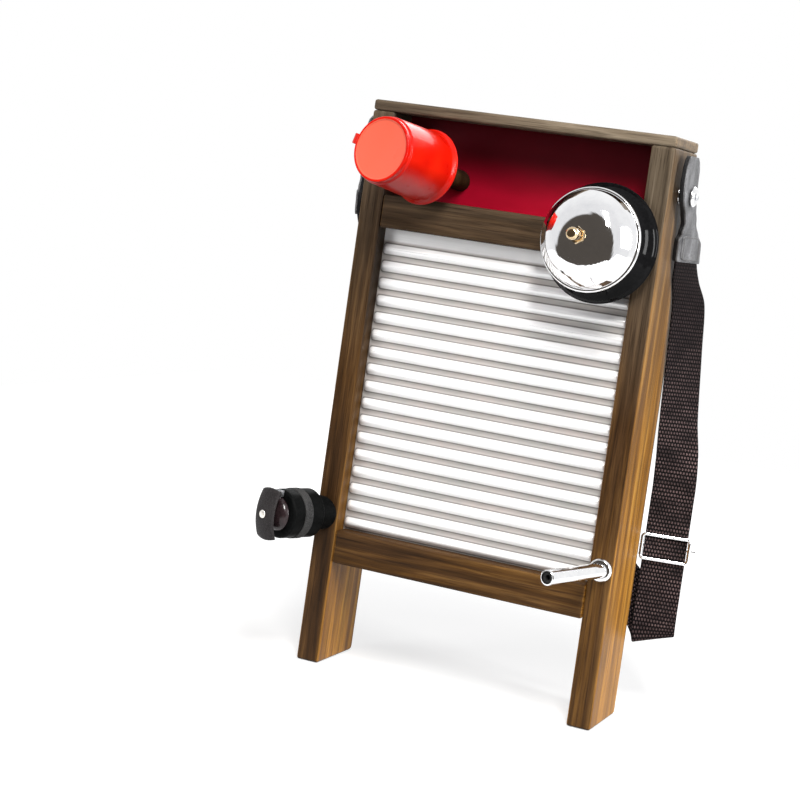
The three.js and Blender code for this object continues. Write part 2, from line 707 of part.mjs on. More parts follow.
// Striking tube on the right post
function strikingTube() {
  const rosette = facing(postMiddle, -fitGap, tubeUp);
  const axis = facing(postMiddle, -fitGap - rosetteThickness, tubeUp, tubeTurn);
  const hole = tubeBoltRadius + fitGap;
  piece('tube_rosette', turned([[hole, 0], [rosetteRadius, 0], [rosetteRadius, rosetteThickness / 2],
    [rosetteRadius * 0.86, rosetteThickness], [hole, rosetteThickness], [hole, 0]]), 'chrome', rosette);
  const trim = () => brought(axis, behindOf(-rosetteThickness - 2 * fitGap));
  const bore = tubeRadius - tubeWall;
  const start = -2 * tubeRadius;
  const wall = turned([[bore, start], [tubeRadius, start], [tubeRadius, tubeLength - tubeWall / 2],
    [tubeRadius - tubeWall / 2, tubeLength], [bore, tubeLength], [bore, start]], 28);
  piece('striking_tube', cut(wall, trim()), 'chrome', axis);
  const boltTip = rosetteThickness + footPlugLength * 0.4;
  const boltHole = backwards(rod(hole, -boltTip - 2 * fitGap, boardDepth)).translate(postMiddle, 0, tubeUp);
  piece('tube_foot_plug', cut(rod(bore - fitGap, start, footPlugLength, 20), trim(), brought(axis, boltHole)),
    'steel', axis);
  const plugTop = tubeLength - endPlugRecess;
  piece('tube_end_plug', turned([[0, plugTop - endPlugLength], [bore - fitGap, plugTop - endPlugLength],
    [bore - fitGap, plugTop], [endPlugSocket, plugTop], [endPlugSocket, plugTop - endPlugLength / 2],
    [0, plugTop - endPlugLength / 2]], 20), 'matt', axis);
  backBolt('tube', rosette, boardDepth, tubeBoltRadius, boltTip);
}

strikingTube();

// Castanet on the left post: a banded barrel carries a fixed dome, a sprung shell claps against it
const castanet = facing(-postMiddle - castanetOutset, 0, castanetUp, castanetTurn);
const barrelTop = castanetStand + castanetLength;
const domeBottom = barrelTop + fitGap;
const domeTop = domeBottom + domeShellHeight;
const shellMiddle = domeTop + shellGap;
const hingePlace = domeBottom + hingeOut;

const castanetBoltHole = () => brought(castanet, backwards(rod(castanetBoltRadius + fitGap,
  -castanetBoltReach - 2 * fitGap, 2 * boardDepth)).translate(-postMiddle, 0, castanetUp));

function castanetBarrel() {
  const foot = rod(castanetFootRadius, -2 * castanetRadius, castanetStand - fitGap, 24);
  piece('castanet_foot', cut(foot, brought(castanet, behindOf(-fitGap)), castanetBoltHole()),
    'matt', castanet);
  const grooveBottom = castanetStand + bandPlace;
  const grooveTop = grooveBottom + bandWidth;
  const groove = castanetRadius - bandDepth;
  const body = turned([[0, castanetStand], [castanetRadius - castanetChamfer, castanetStand],
    [castanetRadius, castanetStand + castanetChamfer], [castanetRadius, grooveBottom - fitGap],
    [groove, grooveBottom - fitGap], [groove, grooveTop + fitGap], [castanetRadius, grooveTop + fitGap],
    [castanetRadius, barrelTop - castanetChamfer], [castanetRadius - castanetChamfer, barrelTop],
    [0, barrelTop]], 36);
  piece('castanet_barrel', cut(body, castanetBoltHole()), 'matt', castanet);
  piece('castanet_band', tube(castanetRadius + bandProud, groove + fitGap, grooveBottom, grooveTop, 36),
    'band', castanet);
}

function castanetDome() {
  const domeShares = [[0, 0], [0.9, 0], [1, 0.12], [0.9, 0.5], [0.68, 0.79], [0.36, 0.96], [0, 1]];
  piece('castanet_dome', turned(shared(domeShares, domeShellRadius, domeShellHeight, domeBottom), 28),
    'gloss', castanet);
}

const atHinge = (geometry) => sideways(geometry).translate(0, hingeUp, hingePlace);

// The outer shell is bowed both ways, with rounded ends and two knuckles for its hinge pin
function castanetShell() {
  const acrossShares = [-1, -0.5, 0, 0.5, 1];
  const upShares = [-1, -0.8, -0.55, -0.28, 0, 0.28, 0.55, 0.8, 1];
  const endShare = 0.1;
  const places = [0, shellThickness].flatMap((out) => upShares.flatMap((up) => acrossShares.flatMap((side) => [
    (side * shellWidth) / 2, ((up * shellHeight) / 2) * (1 - endShare * side ** 2),
    shellMiddle - shellBow * up ** 2 - shellCrown * side ** 2 + out])));
  const inner = hingeBlockWidth / 2 + fitGap;
  const top = shellMiddle - shellBow * (hingeUp / (shellHeight / 2)) ** 2;
  const knuckle = (x0, x1) => joined(atHinge(rod(hingeBarrel, x0, x1, 20)),
    block(x0, x1, hingeUp - hingeBarrel, hingeUp + hingeBarrel, hingePlace, top + shellThickness / 2));
  const shell = joined(sheet(places, acrossShares.length, upShares.length),
    knuckle(inner, inner + hingeEar), knuckle(-inner - hingeEar, -inner));
  const rivetHole = rod(rivetShank + fitGap, domeTop, shellMiddle + shellThickness + cutOverrun);
  piece('castanet_shell', cut(shell, atHinge(rod(hingePinRadius + fitGap, -shellWidth, shellWidth)),
    rivetHole),
    'leather', castanet);
}

function castanetHinge() {
  const half = hingeBlockWidth / 2;
  const gap = half - hingeEar;
  const body = joined(block(-half, half, domeShellRadius + fitGap, hingeUp + hingeBarrel, domeBottom,
    hingePlace),
    atHinge(rod(hingeBarrel, -half, half, 20)));
  const slot = block(-gap, gap, 0, castanetRadius, domeBottom + hingeEar, hingePlace + 2 * hingeBarrel);
  piece('castanet_hinge_block', cut(body, slot,
    atHinge(rod(hingePinRadius + fitGap, -shellWidth, shellWidth))),
    'steel', castanet);
  const reach = half + fitGap + hingeEar;
  piece('castanet_hinge_pin', atHinge(rod(hingePinRadius, -reach, reach)), 'steel', castanet);
  piece('castanet_spring', atHinge(coilSpring(hingeBarrel, clapSpringWire, fitGap - gap, gap - fitGap,
    clapSpringTurns)), 'steel', castanet);
}

function castanetRivet() {
  const inside = shellMiddle - fitGap;
  const outside = shellMiddle + shellThickness + fitGap;
  const inner = rivetRadius * 0.7;
  piece('castanet_rivet', turned([[0, inside - rivetHead / 2], [inner, inside - rivetHead / 2],
    [inner, inside],
    [rivetShank, inside], [rivetShank, outside], [rivetRadius, outside],
    [rivetRadius * 0.8, outside + rivetHead * 0.75], [0, outside + rivetHead]], 20), 'chrome', castanet);
}

castanetBarrel();
castanetDome();
castanetShell();
castanetHinge();
castanetRivet();
backBolt('castanet', facing(-postMiddle, -fitGap, castanetUp), boardDepth, castanetBoltRadius,
  castanetBoltReach);

// Strap buttons: a flanged spool on each side face of the board, held by a wood screw
const buttonNeckEnd = tabStand + tabThickness / 2 + 3 * fitGap;
const buttonTop = buttonNeckEnd + buttonHeadThickness;

function strapButton(name, side) {
  const hole = buttonScrewRadius + fitGap;
  const flangeTop = fitGap + buttonFlangeThickness;
  const outline = [[hole, fitGap], [buttonFlangeRadius, fitGap], [buttonFlangeRadius, flangeTop],
    [buttonNeckRadius, flangeTop], [buttonNeckRadius, buttonNeckEnd],
    [buttonHeadRadius - buttonHeadThickness / 3, buttonNeckEnd],
    [buttonHeadRadius, buttonNeckEnd + buttonHeadThickness / 3],
    [buttonHeadRadius - buttonHeadThickness / 2, buttonTop], [hole, buttonTop], [hole, fitGap]];
  piece(`strap_button_${name}`, outwards(turned(outline, 24), side), 'chrome', board);
  const head = buttonTop + fitGap;
  const screw = turned([[0, -buttonScrewReach],
    [buttonScrewRadius, -buttonScrewReach + 2 * buttonScrewRadius],
    [buttonScrewRadius, head], [buttonScrewHeadRadius, head],
    [buttonScrewHeadRadius * 0.7, head + buttonScrewHeadThickness], [0, head + buttonScrewHeadThickness]],
    16);
  piece(`strap_screw_${name}`, outwards(screw, side), 'steel', board);
}

for (const [name, side] of Object.entries(sides)) strapButton(name, side);

// The strap's route: stations with a middle and a direction across the webbing

// The direction across the webbing, turned back from +X and then tilted up
function acrossAt(turn, tilt = 0) {
  const [back, up] = [turn, tilt].map(THREE.MathUtils.degToRad);
  return new THREE.Vector3(Math.cos(back) * Math.cos(up), Math.sin(back) * Math.cos(up), Math.sin(up));
}

// Beside a leather tab: down from its top and back from the button in shares of the tab's length,
// out from the post in shares of the tab's stand, then the turn in degrees
function tabStation(side, [down, back, stand, turn]) {
  const reach = (webbingWidth / 2) * Math.cos(THREE.MathUtils.degToRad(turn));
  const middle = new THREE.Vector3(side * (halfWidth + stand * tabStand + reach),
    buttonBack + back * tabLength, buttonUp + tabTop - down * tabLength);
  return { middle, across: acrossAt(side * turn) };
}

// Beside a post, near edge on the post: height in shares of the board's height, the near edge's place
// in shares of its depth, then the turn and tilt in degrees
function sideStation(side, [up, back, turn, tilt = 0]) {
  const across = acrossAt(side * turn, tilt);
  const near = new THREE.Vector3(side * (halfWidth + strapStand), back * boardDepth, up * boardHeight);
  return { middle: near.addScaledVector(across, (side * webbingWidth) / 2), across };
}

// Behind the board: across in shares of half its width, up in shares of its height, back from its back
// in shares of the fold's place, then the turn and tilt in degrees
function rearStation([out, up, back, turn, tilt]) {
  const y = boardDepth + back * (strapBehind + foldDepth);
  return { middle: new THREE.Vector3(out * halfWidth, y, up * boardHeight), across: acrossAt(turn, tilt) };
}

const straightMiddle = new THREE.Vector3(halfWidth + strapStand, boardDepth + strapBehind, 0)
  .addScaledVector(acrossAt(strapTurn), webbingWidth / 2);

// Down the straight stretch that the buckle slides on: heights in shares of the board's height
const straightStation = (up) => ({
  middle: straightMiddle.clone().setZ(up * boardHeight), across: acrossAt(strapTurn),
});

// Round the fold: up from its lowest place, back and left in shares of its depth, then the tilt
const foldStation = ([up, back, left, tilt]) => ({
  middle: new THREE.Vector3(straightMiddle.x - left * foldDepth, straightMiddle.y + back * foldDepth,
    foldUp + up * foldDepth),
  across: acrossAt(strapTurn * (1 - back), tilt),
});

const rightTabShares = [[0, -0.026, 1, 90], [0.375, 0, 1, 90], [0.605, 0.105, 0.9, 84],
  [0.816, 0.205, 0.6, 77], [1, 0.263, 0.5, 76]];
const rightSideShares = [[0.763, 0.61, 67.5], [0.728, 0.74, 57], [0.642, 0.853, 52], [0.519, 0.97, 42],
  [0.46, 1.05, 26]];
const straightShares = [0.408, 0.38, 0.242, 0.214];
const foldShares = [[1.6, 0, 0, 0], [0.7, 0.1, 0, 5], [0, 0.5, 0.05, 18], [0.7, 0.92, 0.5, 30],
  [1.7, 1, 1.2, 37]];
const rearShares = [[0.93, 0.216, 1, 0, 44], [0.76, 0.256, 0.98, 0, 52], [0.42, 0.319, 0.94, 0, 58],
  [0.02, 0.384, 0.9, 0, 60], [-0.38, 0.447, 0.86, 0, 60], [-0.73, 0.505, 0.8, 0, 57],
  [-0.97, 0.551, 0.76, -4, 46]];
const leftSideShares = [[0.609, 1.12, 22, 26], [0.645, 0.98, 40, 0], [0.67, 0.74, 54, -20],
  [0.7035, 0.48, 66, -27], [0.75, 0.26, 76, -15]];
const leftTabShares = [[1, -0.06, 0.5, 80], [0.816, -0.07, 0.6, 82], [0.605, -0.045, 0.9, 86],
  [0.375, 0, 1, 90], [0, 0.03, 1, 90]];

const stations = [
  ...rightTabShares.map((row) => tabStation(1, row)),
  ...rightSideShares.map((row) => sideStation(1, row)),
  ...straightShares.map(straightStation),
  ...foldShares.map(foldStation),
  ...rearShares.map(rearStation),
  ...leftSideShares.map((row) => sideStation(-1, row)),
  ...leftTabShares.map((row) => tabStation(-1, row)),
];
const lastStation = stations.length - 1;
const strapMiddle = new THREE.CatmullRomCurve3(stations.map(({ middle }) => middle), false, 'centripetal');
const strapAcross = new THREE.CatmullRomCurve3(stations.map(({ across }) => across), false, 'centripetal');

// A band along the strap's route from [station, width] rings
function band(rings, thickness) {
  const step = 0.01 / lastStation;
  const places = rings.flatMap(([station, width]) => {
    const t = station / lastStation;
    const middle = strapMiddle.getPoint(t);
    const ahead = strapMiddle.getPoint(Math.min(t + step, 1));
    const along = ahead.sub(strapMiddle.getPoint(Math.max(t - step, 0)));
    const across = strapAcross.getPoint(t).normalize();
    const through = along.cross(across).normalize();
    return [[-1, -1], [1, -1], [1, 1], [-1, 1]].flatMap(([side, face]) => middle.clone()
      .addScaledVector(across, (side * width) / 2)
      .addScaledVector(through, (face * thickness) / 2).toArray());
  });
  const index = [0, 1, 2, 0, 2, 3];
  for (let ring = 0; ring < rings.length - 1; ring += 1) {
    for (let i = 0; i < 4; i += 1) {
      const [a, b] = [4 * ring + i, 4 * ring + ((i + 1) % 4)];
      index.push(a, a + 4, b, b, a + 4, b + 4);
    }
  }
  const end = 4 * (rings.length - 1);
  index.push(end, end + 2, end + 1, end, end + 3, end + 2);
  return indexed(places, index);
}

// The webbing ends inside the pockets of both tabs
const pocketStation = 3.4;

function webbingRings(from, to, width) {
  const count = Math.round((to - from) * ringsPerStation);
  return Array.from({ length: count + 1 }, (_, i) => [from + ((to - from) * i) / count, width]);
}

function webbing() {
  const rings = webbingRings(pocketStation, lastStation - pocketStation, webbingWidth);
  piece('strap_webbing', band(rings, webbingThickness), 'webbing', board);
}

// A leather tab: rounded end, buttonhole, neck, and a pocket that takes the webbing
function strapTab(name, side, stationAt) {
  const outlineShares = [[0, 0.5], [0.1, 0.76], [0.3, 0.95], [0.65, 1], [1.2, 0.95], [1.7, 0.72], [2.15, 0.6],
    [2.6, 0.78], [2.95, 1], [3.5, 1], [3.9, 1], [4, 0.96]];
  const body = band(outlineShares.map(([place, share]) => [stationAt(place), share * tabWidth]),
    tabThickness);
  const pocket = band(webbingRings(pocketStation - 0.05, 4.3, webbingWidth + 2 * fitGap)
    .map(([place, width]) => [stationAt(place), width]), webbingThickness + 2 * fitGap);
  const hole = outwards(rod(buttonNeckRadius + fitGap, 0, 2 * tabStand), side);
  piece(`strap_tab_${name}`, cut(body, pocket, hole), 'leather', board);
}

webbing();
strapTab('right', 1, (place) => place);
strapTab('left', -1, (place) => lastStation - place);

// Sliding buckle: a wire ring in front of the webbing with a bar behind it
function buckle() {
  const axis = facing(straightMiddle.x, straightMiddle.y, buckleUp, -strapTurn);
  const half = webbingWidth / 2 + fitGap;
  const outerHalf = half + buckleWire;
  const front = webbingThickness / 2 + fitGap;
  const barPlace = -front - buckleBarRadius;
  const ring = cut(block(-outerHalf, outerHalf, -buckleHeight / 2, buckleHeight / 2, front,
    front + buckleWire),
    block(-half, half, -buckleHeight / 2 + buckleWire, buckleHeight / 2 - buckleWire, 0, 2 * buckleHeight));
  const lug = (side) => block(Math.min(side * half, side * outerHalf),
    Math.max(side * half, side * outerHalf),
    -buckleWire, buckleWire, barPlace - 2 * buckleBarRadius, front + buckleWire / 2);
  const hole = sideways(rod(buckleBarRadius + fitGap, -2 * outerHalf, 2 * outerHalf))
    .translate(0, 0, barPlace);
  piece('buckle_frame', cut(joined(ring, lug(1), lug(-1)), hole), 'chrome', axis);
  piece('buckle_bar', sideways(rod(buckleBarRadius, -outerHalf, outerHalf + buckleBarOverhang, 12))
    .translate(0, 0, barPlace), 'chrome', axis);
}

buckle();

// The origin is the middle of the whole instrument's footprint, at the height of its feet
board.updateMatrixWorld(true);
const extent = new THREE.Box3().setFromObject(board, true);
const centre = extent.getCenter(new THREE.Vector3());
board.position.set(-centre.x, -centre.y, -extent.min.z);

export default board;
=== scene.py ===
"""The look of the washboard frottoir. Places are in the board's own millimetres: X right, Y back, Z up,
from the middle of the front edge of its feet, and OFFSET brings them into the frame."""

import math

import bpy
from mathutils import Matrix, Vector

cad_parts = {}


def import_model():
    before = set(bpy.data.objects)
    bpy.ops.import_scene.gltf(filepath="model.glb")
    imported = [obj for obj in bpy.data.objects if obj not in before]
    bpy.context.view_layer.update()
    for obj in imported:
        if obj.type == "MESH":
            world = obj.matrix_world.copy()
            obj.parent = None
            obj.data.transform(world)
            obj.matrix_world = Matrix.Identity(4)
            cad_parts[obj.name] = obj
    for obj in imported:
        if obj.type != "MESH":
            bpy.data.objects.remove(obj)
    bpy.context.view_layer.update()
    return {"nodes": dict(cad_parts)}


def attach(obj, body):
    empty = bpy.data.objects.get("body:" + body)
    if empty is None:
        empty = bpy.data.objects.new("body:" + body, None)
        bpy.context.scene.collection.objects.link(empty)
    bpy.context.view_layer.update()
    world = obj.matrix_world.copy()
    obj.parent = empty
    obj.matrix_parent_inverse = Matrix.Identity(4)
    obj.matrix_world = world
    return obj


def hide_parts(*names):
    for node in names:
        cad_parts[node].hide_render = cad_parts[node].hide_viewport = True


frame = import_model()
cad = frame["nodes"]

MM = 0.001
OFFSET = Vector((-4.328, -7.392, 0))
BOARD = Matrix.Scale(MM, 4) @ Matrix.Translation(OFFSET)


# Camera

YAW, PITCH, ROLL = 0.38060, -0.04670, 0.14214
BOARD_FROM_CAMERA = Vector((6.183, 1392.829, -304.949))
SENSOR_WIDTH, LENS = 36, 84.70
SHIFT_X, SHIFT_Y = -0.0369, -0.1479
CLIP_END = 50


def add_camera():
    turn = Matrix.Rotation(ROLL, 3, "Y") @ Matrix.Rotation(-PITCH, 3, "X") @ Matrix.Rotation(-YAW, 3, "Z")
    right, forward, up = turn
    data = bpy.data.cameras.new("camera")
    data.sensor_width = SENSOR_WIDTH
    data.lens = LENS
    data.shift_x = SHIFT_X
    data.shift_y = SHIFT_Y
    data.clip_end = CLIP_END
    camera = bpy.data.objects.new("camera", data)
    place = BOARD @ (turn.transposed() @ -BOARD_FROM_CAMERA)
    camera.matrix_world = Matrix.Translation(place) @ Matrix((right, up, -forward)).transposed().to_4x4()
    bpy.context.collection.objects.link(camera)
    bpy.context.scene.camera = camera


# Node trees

def node(tree, kind, inputs=None, **settings):
    made = tree.nodes.new(kind)
    for key, value in settings.items():
        setattr(made, key, value)
    for key, value in (inputs or {}).items():
        if isinstance(value, bpy.types.NodeSocket):
            tree.links.new(value, made.inputs[key])
        else:
            made.inputs[key].default_value = value
    return made.outputs[0]


def ramp(tree, value, stops, smooth=False):
    colours = tree.nodes.new("ShaderNodeValToRGB")
    tree.links.new(value, colours.inputs[0])
    points = colours.color_ramp.elements
    for place, _ in stops[2:]:
        points.new(place)
    for point, (place, colour) in zip(points, stops):
        point.position = place
        point.color = (*colour, 1) if isinstance(colour, tuple) else (colour, colour, colour, 1)
    if smooth:
        colours.color_ramp.interpolation = "EASE"
    return colours.outputs[0]


def mixed(tree, share, first, second):
    mix = tree.nodes.new("ShaderNodeMix")
    mix.data_type = "RGBA"
    for socket, value in ((mix.inputs[0], share), (mix.inputs[6], first), (mix.inputs[7], second)):
        if isinstance(value, bpy.types.NodeSocket):
            tree.links.new(value, socket)
        else:
            socket.default_value = (*value, 1) if isinstance(value, tuple) else value
    return mix.outputs[2]


def maths(tree, operation, first, second=0.0):
    made = tree.nodes.new("ShaderNodeMath")
    made.operation = operation
    for socket, value in zip(made.inputs, (first, second)):
        if isinstance(value, bpy.types.NodeSocket):
            tree.links.new(value, socket)
        else:
            socket.default_value = value
    return made.outputs[0]


def coordinate(tree, source="Object"):
    return tree.nodes.new("ShaderNodeTexCoord").outputs[source]


def places(tree, scale):
    return node(tree, "ShaderNodeMapping", {"Vector": coordinate(tree), "Scale": scale})


def ranged(tree, value, start, end, low=0.0, high=1.0):
    """Runs from low to high as the value goes from start to end, and stays there beyond them."""
    return node(tree, "ShaderNodeMapRange", {"Value": value, "From Min": start, "From Max": end,
                                             "To Min": low, "To Max": high}, clamp=True)


def noise(tree, vector, detail, roughness, distortion=0.0):
    return node(tree, "ShaderNodeTexNoise", {"Vector": vector, "Scale": 1.0, "Detail": detail,
                                             "Roughness": roughness, "Distortion": distortion})


def times(tree, first, second):
    return maths(tree, "MULTIPLY", first, second)


def parts(tree, vector):
    split = tree.nodes.new("ShaderNodeSeparateXYZ")
    tree.links.new(vector, split.inputs[0])
    return split.outputs


def measured(tree, operation, first, second):
    """The number that a vector operation gives: a distance or a dot product."""
    made = tree.nodes.new("ShaderNodeVectorMath")
    made.operation = operation
    tree.links.new(first, made.inputs[0])
    made.inputs[1].default_value = second
    return made.outputs["Value"]


def bump(tree, height, strength, distance):
    return node(tree, "ShaderNodeBump", {"Height": height, "Strength": strength, "Distance": distance})


def finish(name, **sockets):
    """A material whose plain values sit on its shader; returns it, its tree and the shader's inputs."""
    material = bpy.data.materials.new(name)
    material.use_nodes = True
    tree = material.node_tree
    inputs = tree.nodes["Principled BSDF"].inputs
    for key, value in sockets.items():
        socket = inputs[key.replace("_", " ")]
        socket.default_value = (*value, 1) if isinstance(value, tuple) else value
    return material, tree, inputs


# Finishes

# Where the colour and its painted light and shade change, in the frame's metres: heights, and places across
# the board
LIT_ACROSS = (-0.26, 0.02)
GREYER_UP = (0.22, 0.39)
GOLD_DOWN = (0.40, 0.10)
LEFT_HALF = (-0.06, -0.09)
SHADED_UP = (0.085, 0.30)
RAIL_UNDERSIDE = 0.079
FEET_END = (0.0016, 0.0004)
SHADOW = (0.006, 0.004, 0.003)


def wood(name, along, painted_light=0.0, unshaded=1.0):
    """Dark stained pine: streaked brown faces, greyer higher up, paler to the right and golden on the sides
    as painted light, painted shade on the left post's inner face, and dark feet.
    """
    material, tree, inputs = finish(name, Specular_IOR_Level=0.11, Coat_Weight=0.03, Coat_Roughness=0.3)
    streak, hair, ring = {"Z": ((150, 150, 7), (1100, 1100, 30), (40, 40, 2.2)),
                          "X": ((7, 150, 150), (30, 1100, 1100), (2.2, 40, 40))}[along]
    fibre = noise(tree, places(tree, streak), 7, 0.62, 0.5)
    fine = noise(tree, places(tree, hair), 3, 0.6)
    broad = noise(tree, places(tree, ring), 3, 0.5, 1.4)
    bands = node(tree, "ShaderNodeTexWave", {"Vector": places(tree, ring), "Scale": 1.7, "Distortion": 7.0,
                                             "Detail": 3.0, "Detail Scale": 0.8},
                 wave_type="RINGS", rings_direction=along)
    rightwards, _, height = parts(tree, coordinate(tree))
    brown = ramp(tree, fibre, [(0.30, (0.014, 0.0066, 0.0024)), (0.5, (0.046, 0.0215, 0.0076)),
                               (0.72, (0.120, 0.060, 0.021))])
    grey = ramp(tree, fibre, [(0.30, (0.018, 0.0120, 0.0075)), (0.5, (0.039, 0.0268, 0.0165)),
                              (0.72, (0.075, 0.053, 0.034))])
    pale = ramp(tree, fibre, [(0.30, (0.090, 0.068, 0.045)), (0.5, (0.175, 0.138, 0.095)),
                              (0.72, (0.290, 0.240, 0.175))])
    gold = ramp(tree, fibre, [(0.28, (0.180, 0.070, 0.010)), (0.5, (0.440, 0.198, 0.030)),
                              (0.72, (0.640, 0.340, 0.075))])
    gold = mixed(tree, ramp(tree, bands, [(0.35, 0.0), (0.9, 0.6)]), gold, (0.120, 0.048, 0.010))
    # Painted light: paler towards the board's right, by the given share
    grey = mixed(tree, ranged(tree, rightwards, *LIT_ACROSS, 0.0, painted_light), grey, pale)
    # Greyer towards the top
    brown = mixed(tree, ranged(tree, height, *GREYER_UP, 0.0, 0.9), brown, grey)

    # Painted light: the side faces turn golden, most of all low down. The fronts get golden patches low down.
    # Painted shade darkens the left post's inner face above the rail
    towards_right = parts(tree, coordinate(tree, "Normal"))[0]
    sideways = maths(tree, "ABSOLUTE", towards_right)
    low = ranged(tree, height, *GOLD_DOWN, 0.10)
    left_half = ranged(tree, rightwards, *LEFT_HALF)
    above_rail = times(tree, ranged(tree, height, *SHADED_UP, 0.30),
                       maths(tree, "GREATER_THAN", height, RAIL_UNDERSIDE))
    faces_right = maths(tree, "GREATER_THAN", towards_right, 0.0)
    inner = times(tree, times(tree, left_half, above_rail), faces_right)
    side = times(tree, ranged(tree, sideways, 0.45, 0.8), maths(tree, "SUBTRACT", 1.0, inner))
    front_gold = times(tree, low, ramp(tree, broad, [(0.45, 0.0), (0.72, 0.22)]))
    colour = mixed(tree, maths(tree, "MAXIMUM", times(tree, side, low), front_gold), brown, gold)
    # Painted shade on the left post's inner face above the rail, in the shadow colour
    colour = mixed(tree, times(tree, times(tree, sideways, 0.65), inner), colour, SHADOW)

    colour = mixed(tree, ramp(tree, fine, [(0.33, 0.6), (0.5, 0.0)]), colour, (0.010, 0.005, 0.0025))
    colour = mixed(tree, ranged(tree, height, *FEET_END), colour, SHADOW)
    # Painted shade: the colour is darkened towards black, keeping only the given share
    colour = mixed(tree, 1.0 - unshaded, colour, (0.0, 0.0, 0.0))
    tree.links.new(colour, inputs["Base Color"])
    tree.links.new(ramp(tree, fibre, [(0.25, 0.38), (0.8, 0.55)]), inputs["Roughness"])
    tree.links.new(bump(tree, maths(tree, "ADD", fibre, fine), 0.30, 0.0005), inputs["Normal"])
    return material


def bare_wood():
    """Unstained beech, for the dowels."""
    material, tree, inputs = finish("bare_wood")
    fibre = noise(tree, places(tree, (240, 240, 18)), 6, 0.6, 0.4)
    tree.links.new(ramp(tree, fibre, [(0.3, (0.36, 0.22, 0.11)), (0.7, (0.58, 0.40, 0.22))]),
                   inputs["Base Color"])
    tree.links.new(ramp(tree, fibre, [(0.3, 0.5), (0.7, 0.68)]), inputs["Roughness"])
    tree.links.new(bump(tree, fibre, 0.25, 0.0004), inputs["Normal"])
    return material


PANEL_DARK_UP = (0.360, 0.402)
PANEL_DARK_LEFT = (0.03, -0.09)


def crimson():
    """Painted panel: brushed satin crimson, shaded darker towards its top and its left."""
    material, tree, inputs = finish("crimson", Specular_IOR_Level=0.12)
    patches = noise(tree, places(tree, (18, 18, 40)), 4, 0.5)
    brush = noise(tree, places(tree, (25, 700, 700)), 3, 0.5)
    paint = ramp(tree, patches, [(0.3, (0.36, 0.0020, 0.017)), (0.7, (0.50, 0.0036, 0.026))])
    right, _, up = parts(tree, coordinate(tree))
    rise = ranged(tree, up, *PANEL_DARK_UP)
    left = ranged(tree, right, *PANEL_DARK_LEFT)
    darkest = maths(tree, "MAXIMUM", rise, times(tree, left, 0.55))
    shade = ramp(tree, darkest, [(0.0, 0.0), (1.0, 0.86)], smooth=True)
    tree.links.new(mixed(tree, shade, paint, (0.018, 0.0006, 0.0020)), inputs["Base Color"])
    tree.links.new(ramp(tree, brush, [(0.3, 0.34), (0.7, 0.46)]), inputs["Roughness"])
    tree.links.new(bump(tree, brush, 0.12, 0.0003), inputs["Normal"])
    return material


RIDGE_TO_GROOVE = (0.0021, 0.0066)
TOP_BAND = (0.3262, 0.3245)


def galvanised():
    """Bright pressed sheet: fine drawing lines along the ridges, faint spangle, and grooves in painted grey
    shade with painted shadow along both their edges.
    """
    material, tree, inputs = finish("galvanised")
    lines = noise(tree, places(tree, (9, 1400, 1400)), 4, 0.6)
    shade_patches = noise(tree, places(tree, (22, 22, 60)), 4, 0.6)
    spangle = node(tree, "ShaderNodeTexVoronoi", {"Vector": places(tree, (90, 90, 90)), "Scale": 1.0},
                   feature="F1")
    _, depth, level = parts(tree, coordinate(tree))
    groove = ranged(tree, depth, *RIDGE_TO_GROOVE)
    bright = mixed(tree, ramp(tree, spangle, [(0.1, 0.0), (0.7, 0.5)]),
                   (0.97, 0.97, 0.97), (0.93, 0.93, 0.935))
    # Painted shade in the grooves, in patches, tinted as a painted reflection of the wood
    groove_shade = mixed(tree, ramp(tree, shade_patches, [(0.35, 0.0), (0.7, 1.0)]),
                  (0.42, 0.41, 0.39), (0.52, 0.465, 0.44))
    # Painted shadow: dark bands along both edges of each groove
    shadow_line = ramp(tree, groove, [(0.62, 0.0), (0.76, 0.85), (0.88, 0.7), (0.97, 0.0)])
    # The flat band at the top keeps the bright colour, with no painted shade
    below_top = ranged(tree, level, *TOP_BAND)
    shaded_share = times(tree, below_top, ramp(tree, groove, [(0.58, 0.0), (0.78, 1.0)]))
    base = mixed(tree, shaded_share, bright, groove_shade)
    base = mixed(tree, shadow_line, base, (0.13, 0.122, 0.114))
    base = mixed(tree, ramp(tree, lines, [(0.30, 0.12), (0.48, 0.0)]), base, (0.45, 0.45, 0.45))
    rough = maths(tree, "ADD", ramp(tree, lines, [(0.3, 0.24), (0.7, 0.36)]), times(tree, groove, 0.14))
    tree.links.new(base, inputs["Base Color"])
    tree.links.new(ramp(tree, groove, [(0.45, 0.26), (0.72, 0.08)]), inputs["Metallic"])
    tree.links.new(rough, inputs["Roughness"])
    tree.links.new(bump(tree, lines, 0.10, 0.0002), inputs["Normal"])
    return material


def enamel(name, pale):
    """Red enamel over steel: glossy, slightly wavy, with dark specks, deeper red underneath as painted shade,
    and paler by the pale share as painted light.
    """
    material, tree, inputs = finish(name, Specular_IOR_Level=0.1, Coat_Weight=0.15, Coat_Roughness=0.03)
    waves = noise(tree, places(tree, (55, 55, 55)), 2, 0.4)
    speck = noise(tree, places(tree, (900, 900, 900)), 2, 0.5)
    wave = ramp(tree, waves, [(0.3, 0.0), (0.75, 1.0)])
    red = mixed(tree, wave, (0.50, 0.004, 0.0010), (0.64, 0.011, 0.0016))
    # Painted shade: deeper red where the surface faces down
    upwards = parts(tree, coordinate(tree, "Normal"))[2]
    red = mixed(tree, ranged(tree, upwards, -0.15, -0.8, 0.0, 0.8), red, (0.22, 0.0010, 0.0005))
    # Painted light: mixed towards coral by the pale share
    red = mixed(tree, pale, red, (0.90, 0.22, 0.13))
    tree.links.new(mixed(tree, ramp(tree, speck, [(0.72, 0.0), (0.78, 0.5)]), red, (0.35, 0.01, 0.005)),
                   inputs["Base Color"])
    tree.links.new(ramp(tree, waves, [(0.3, 0.26), (0.7, 0.34)]), inputs["Roughness"])
    tree.links.new(bump(tree, waves, 0.10, 0.0006), inputs["Normal"])
    return material


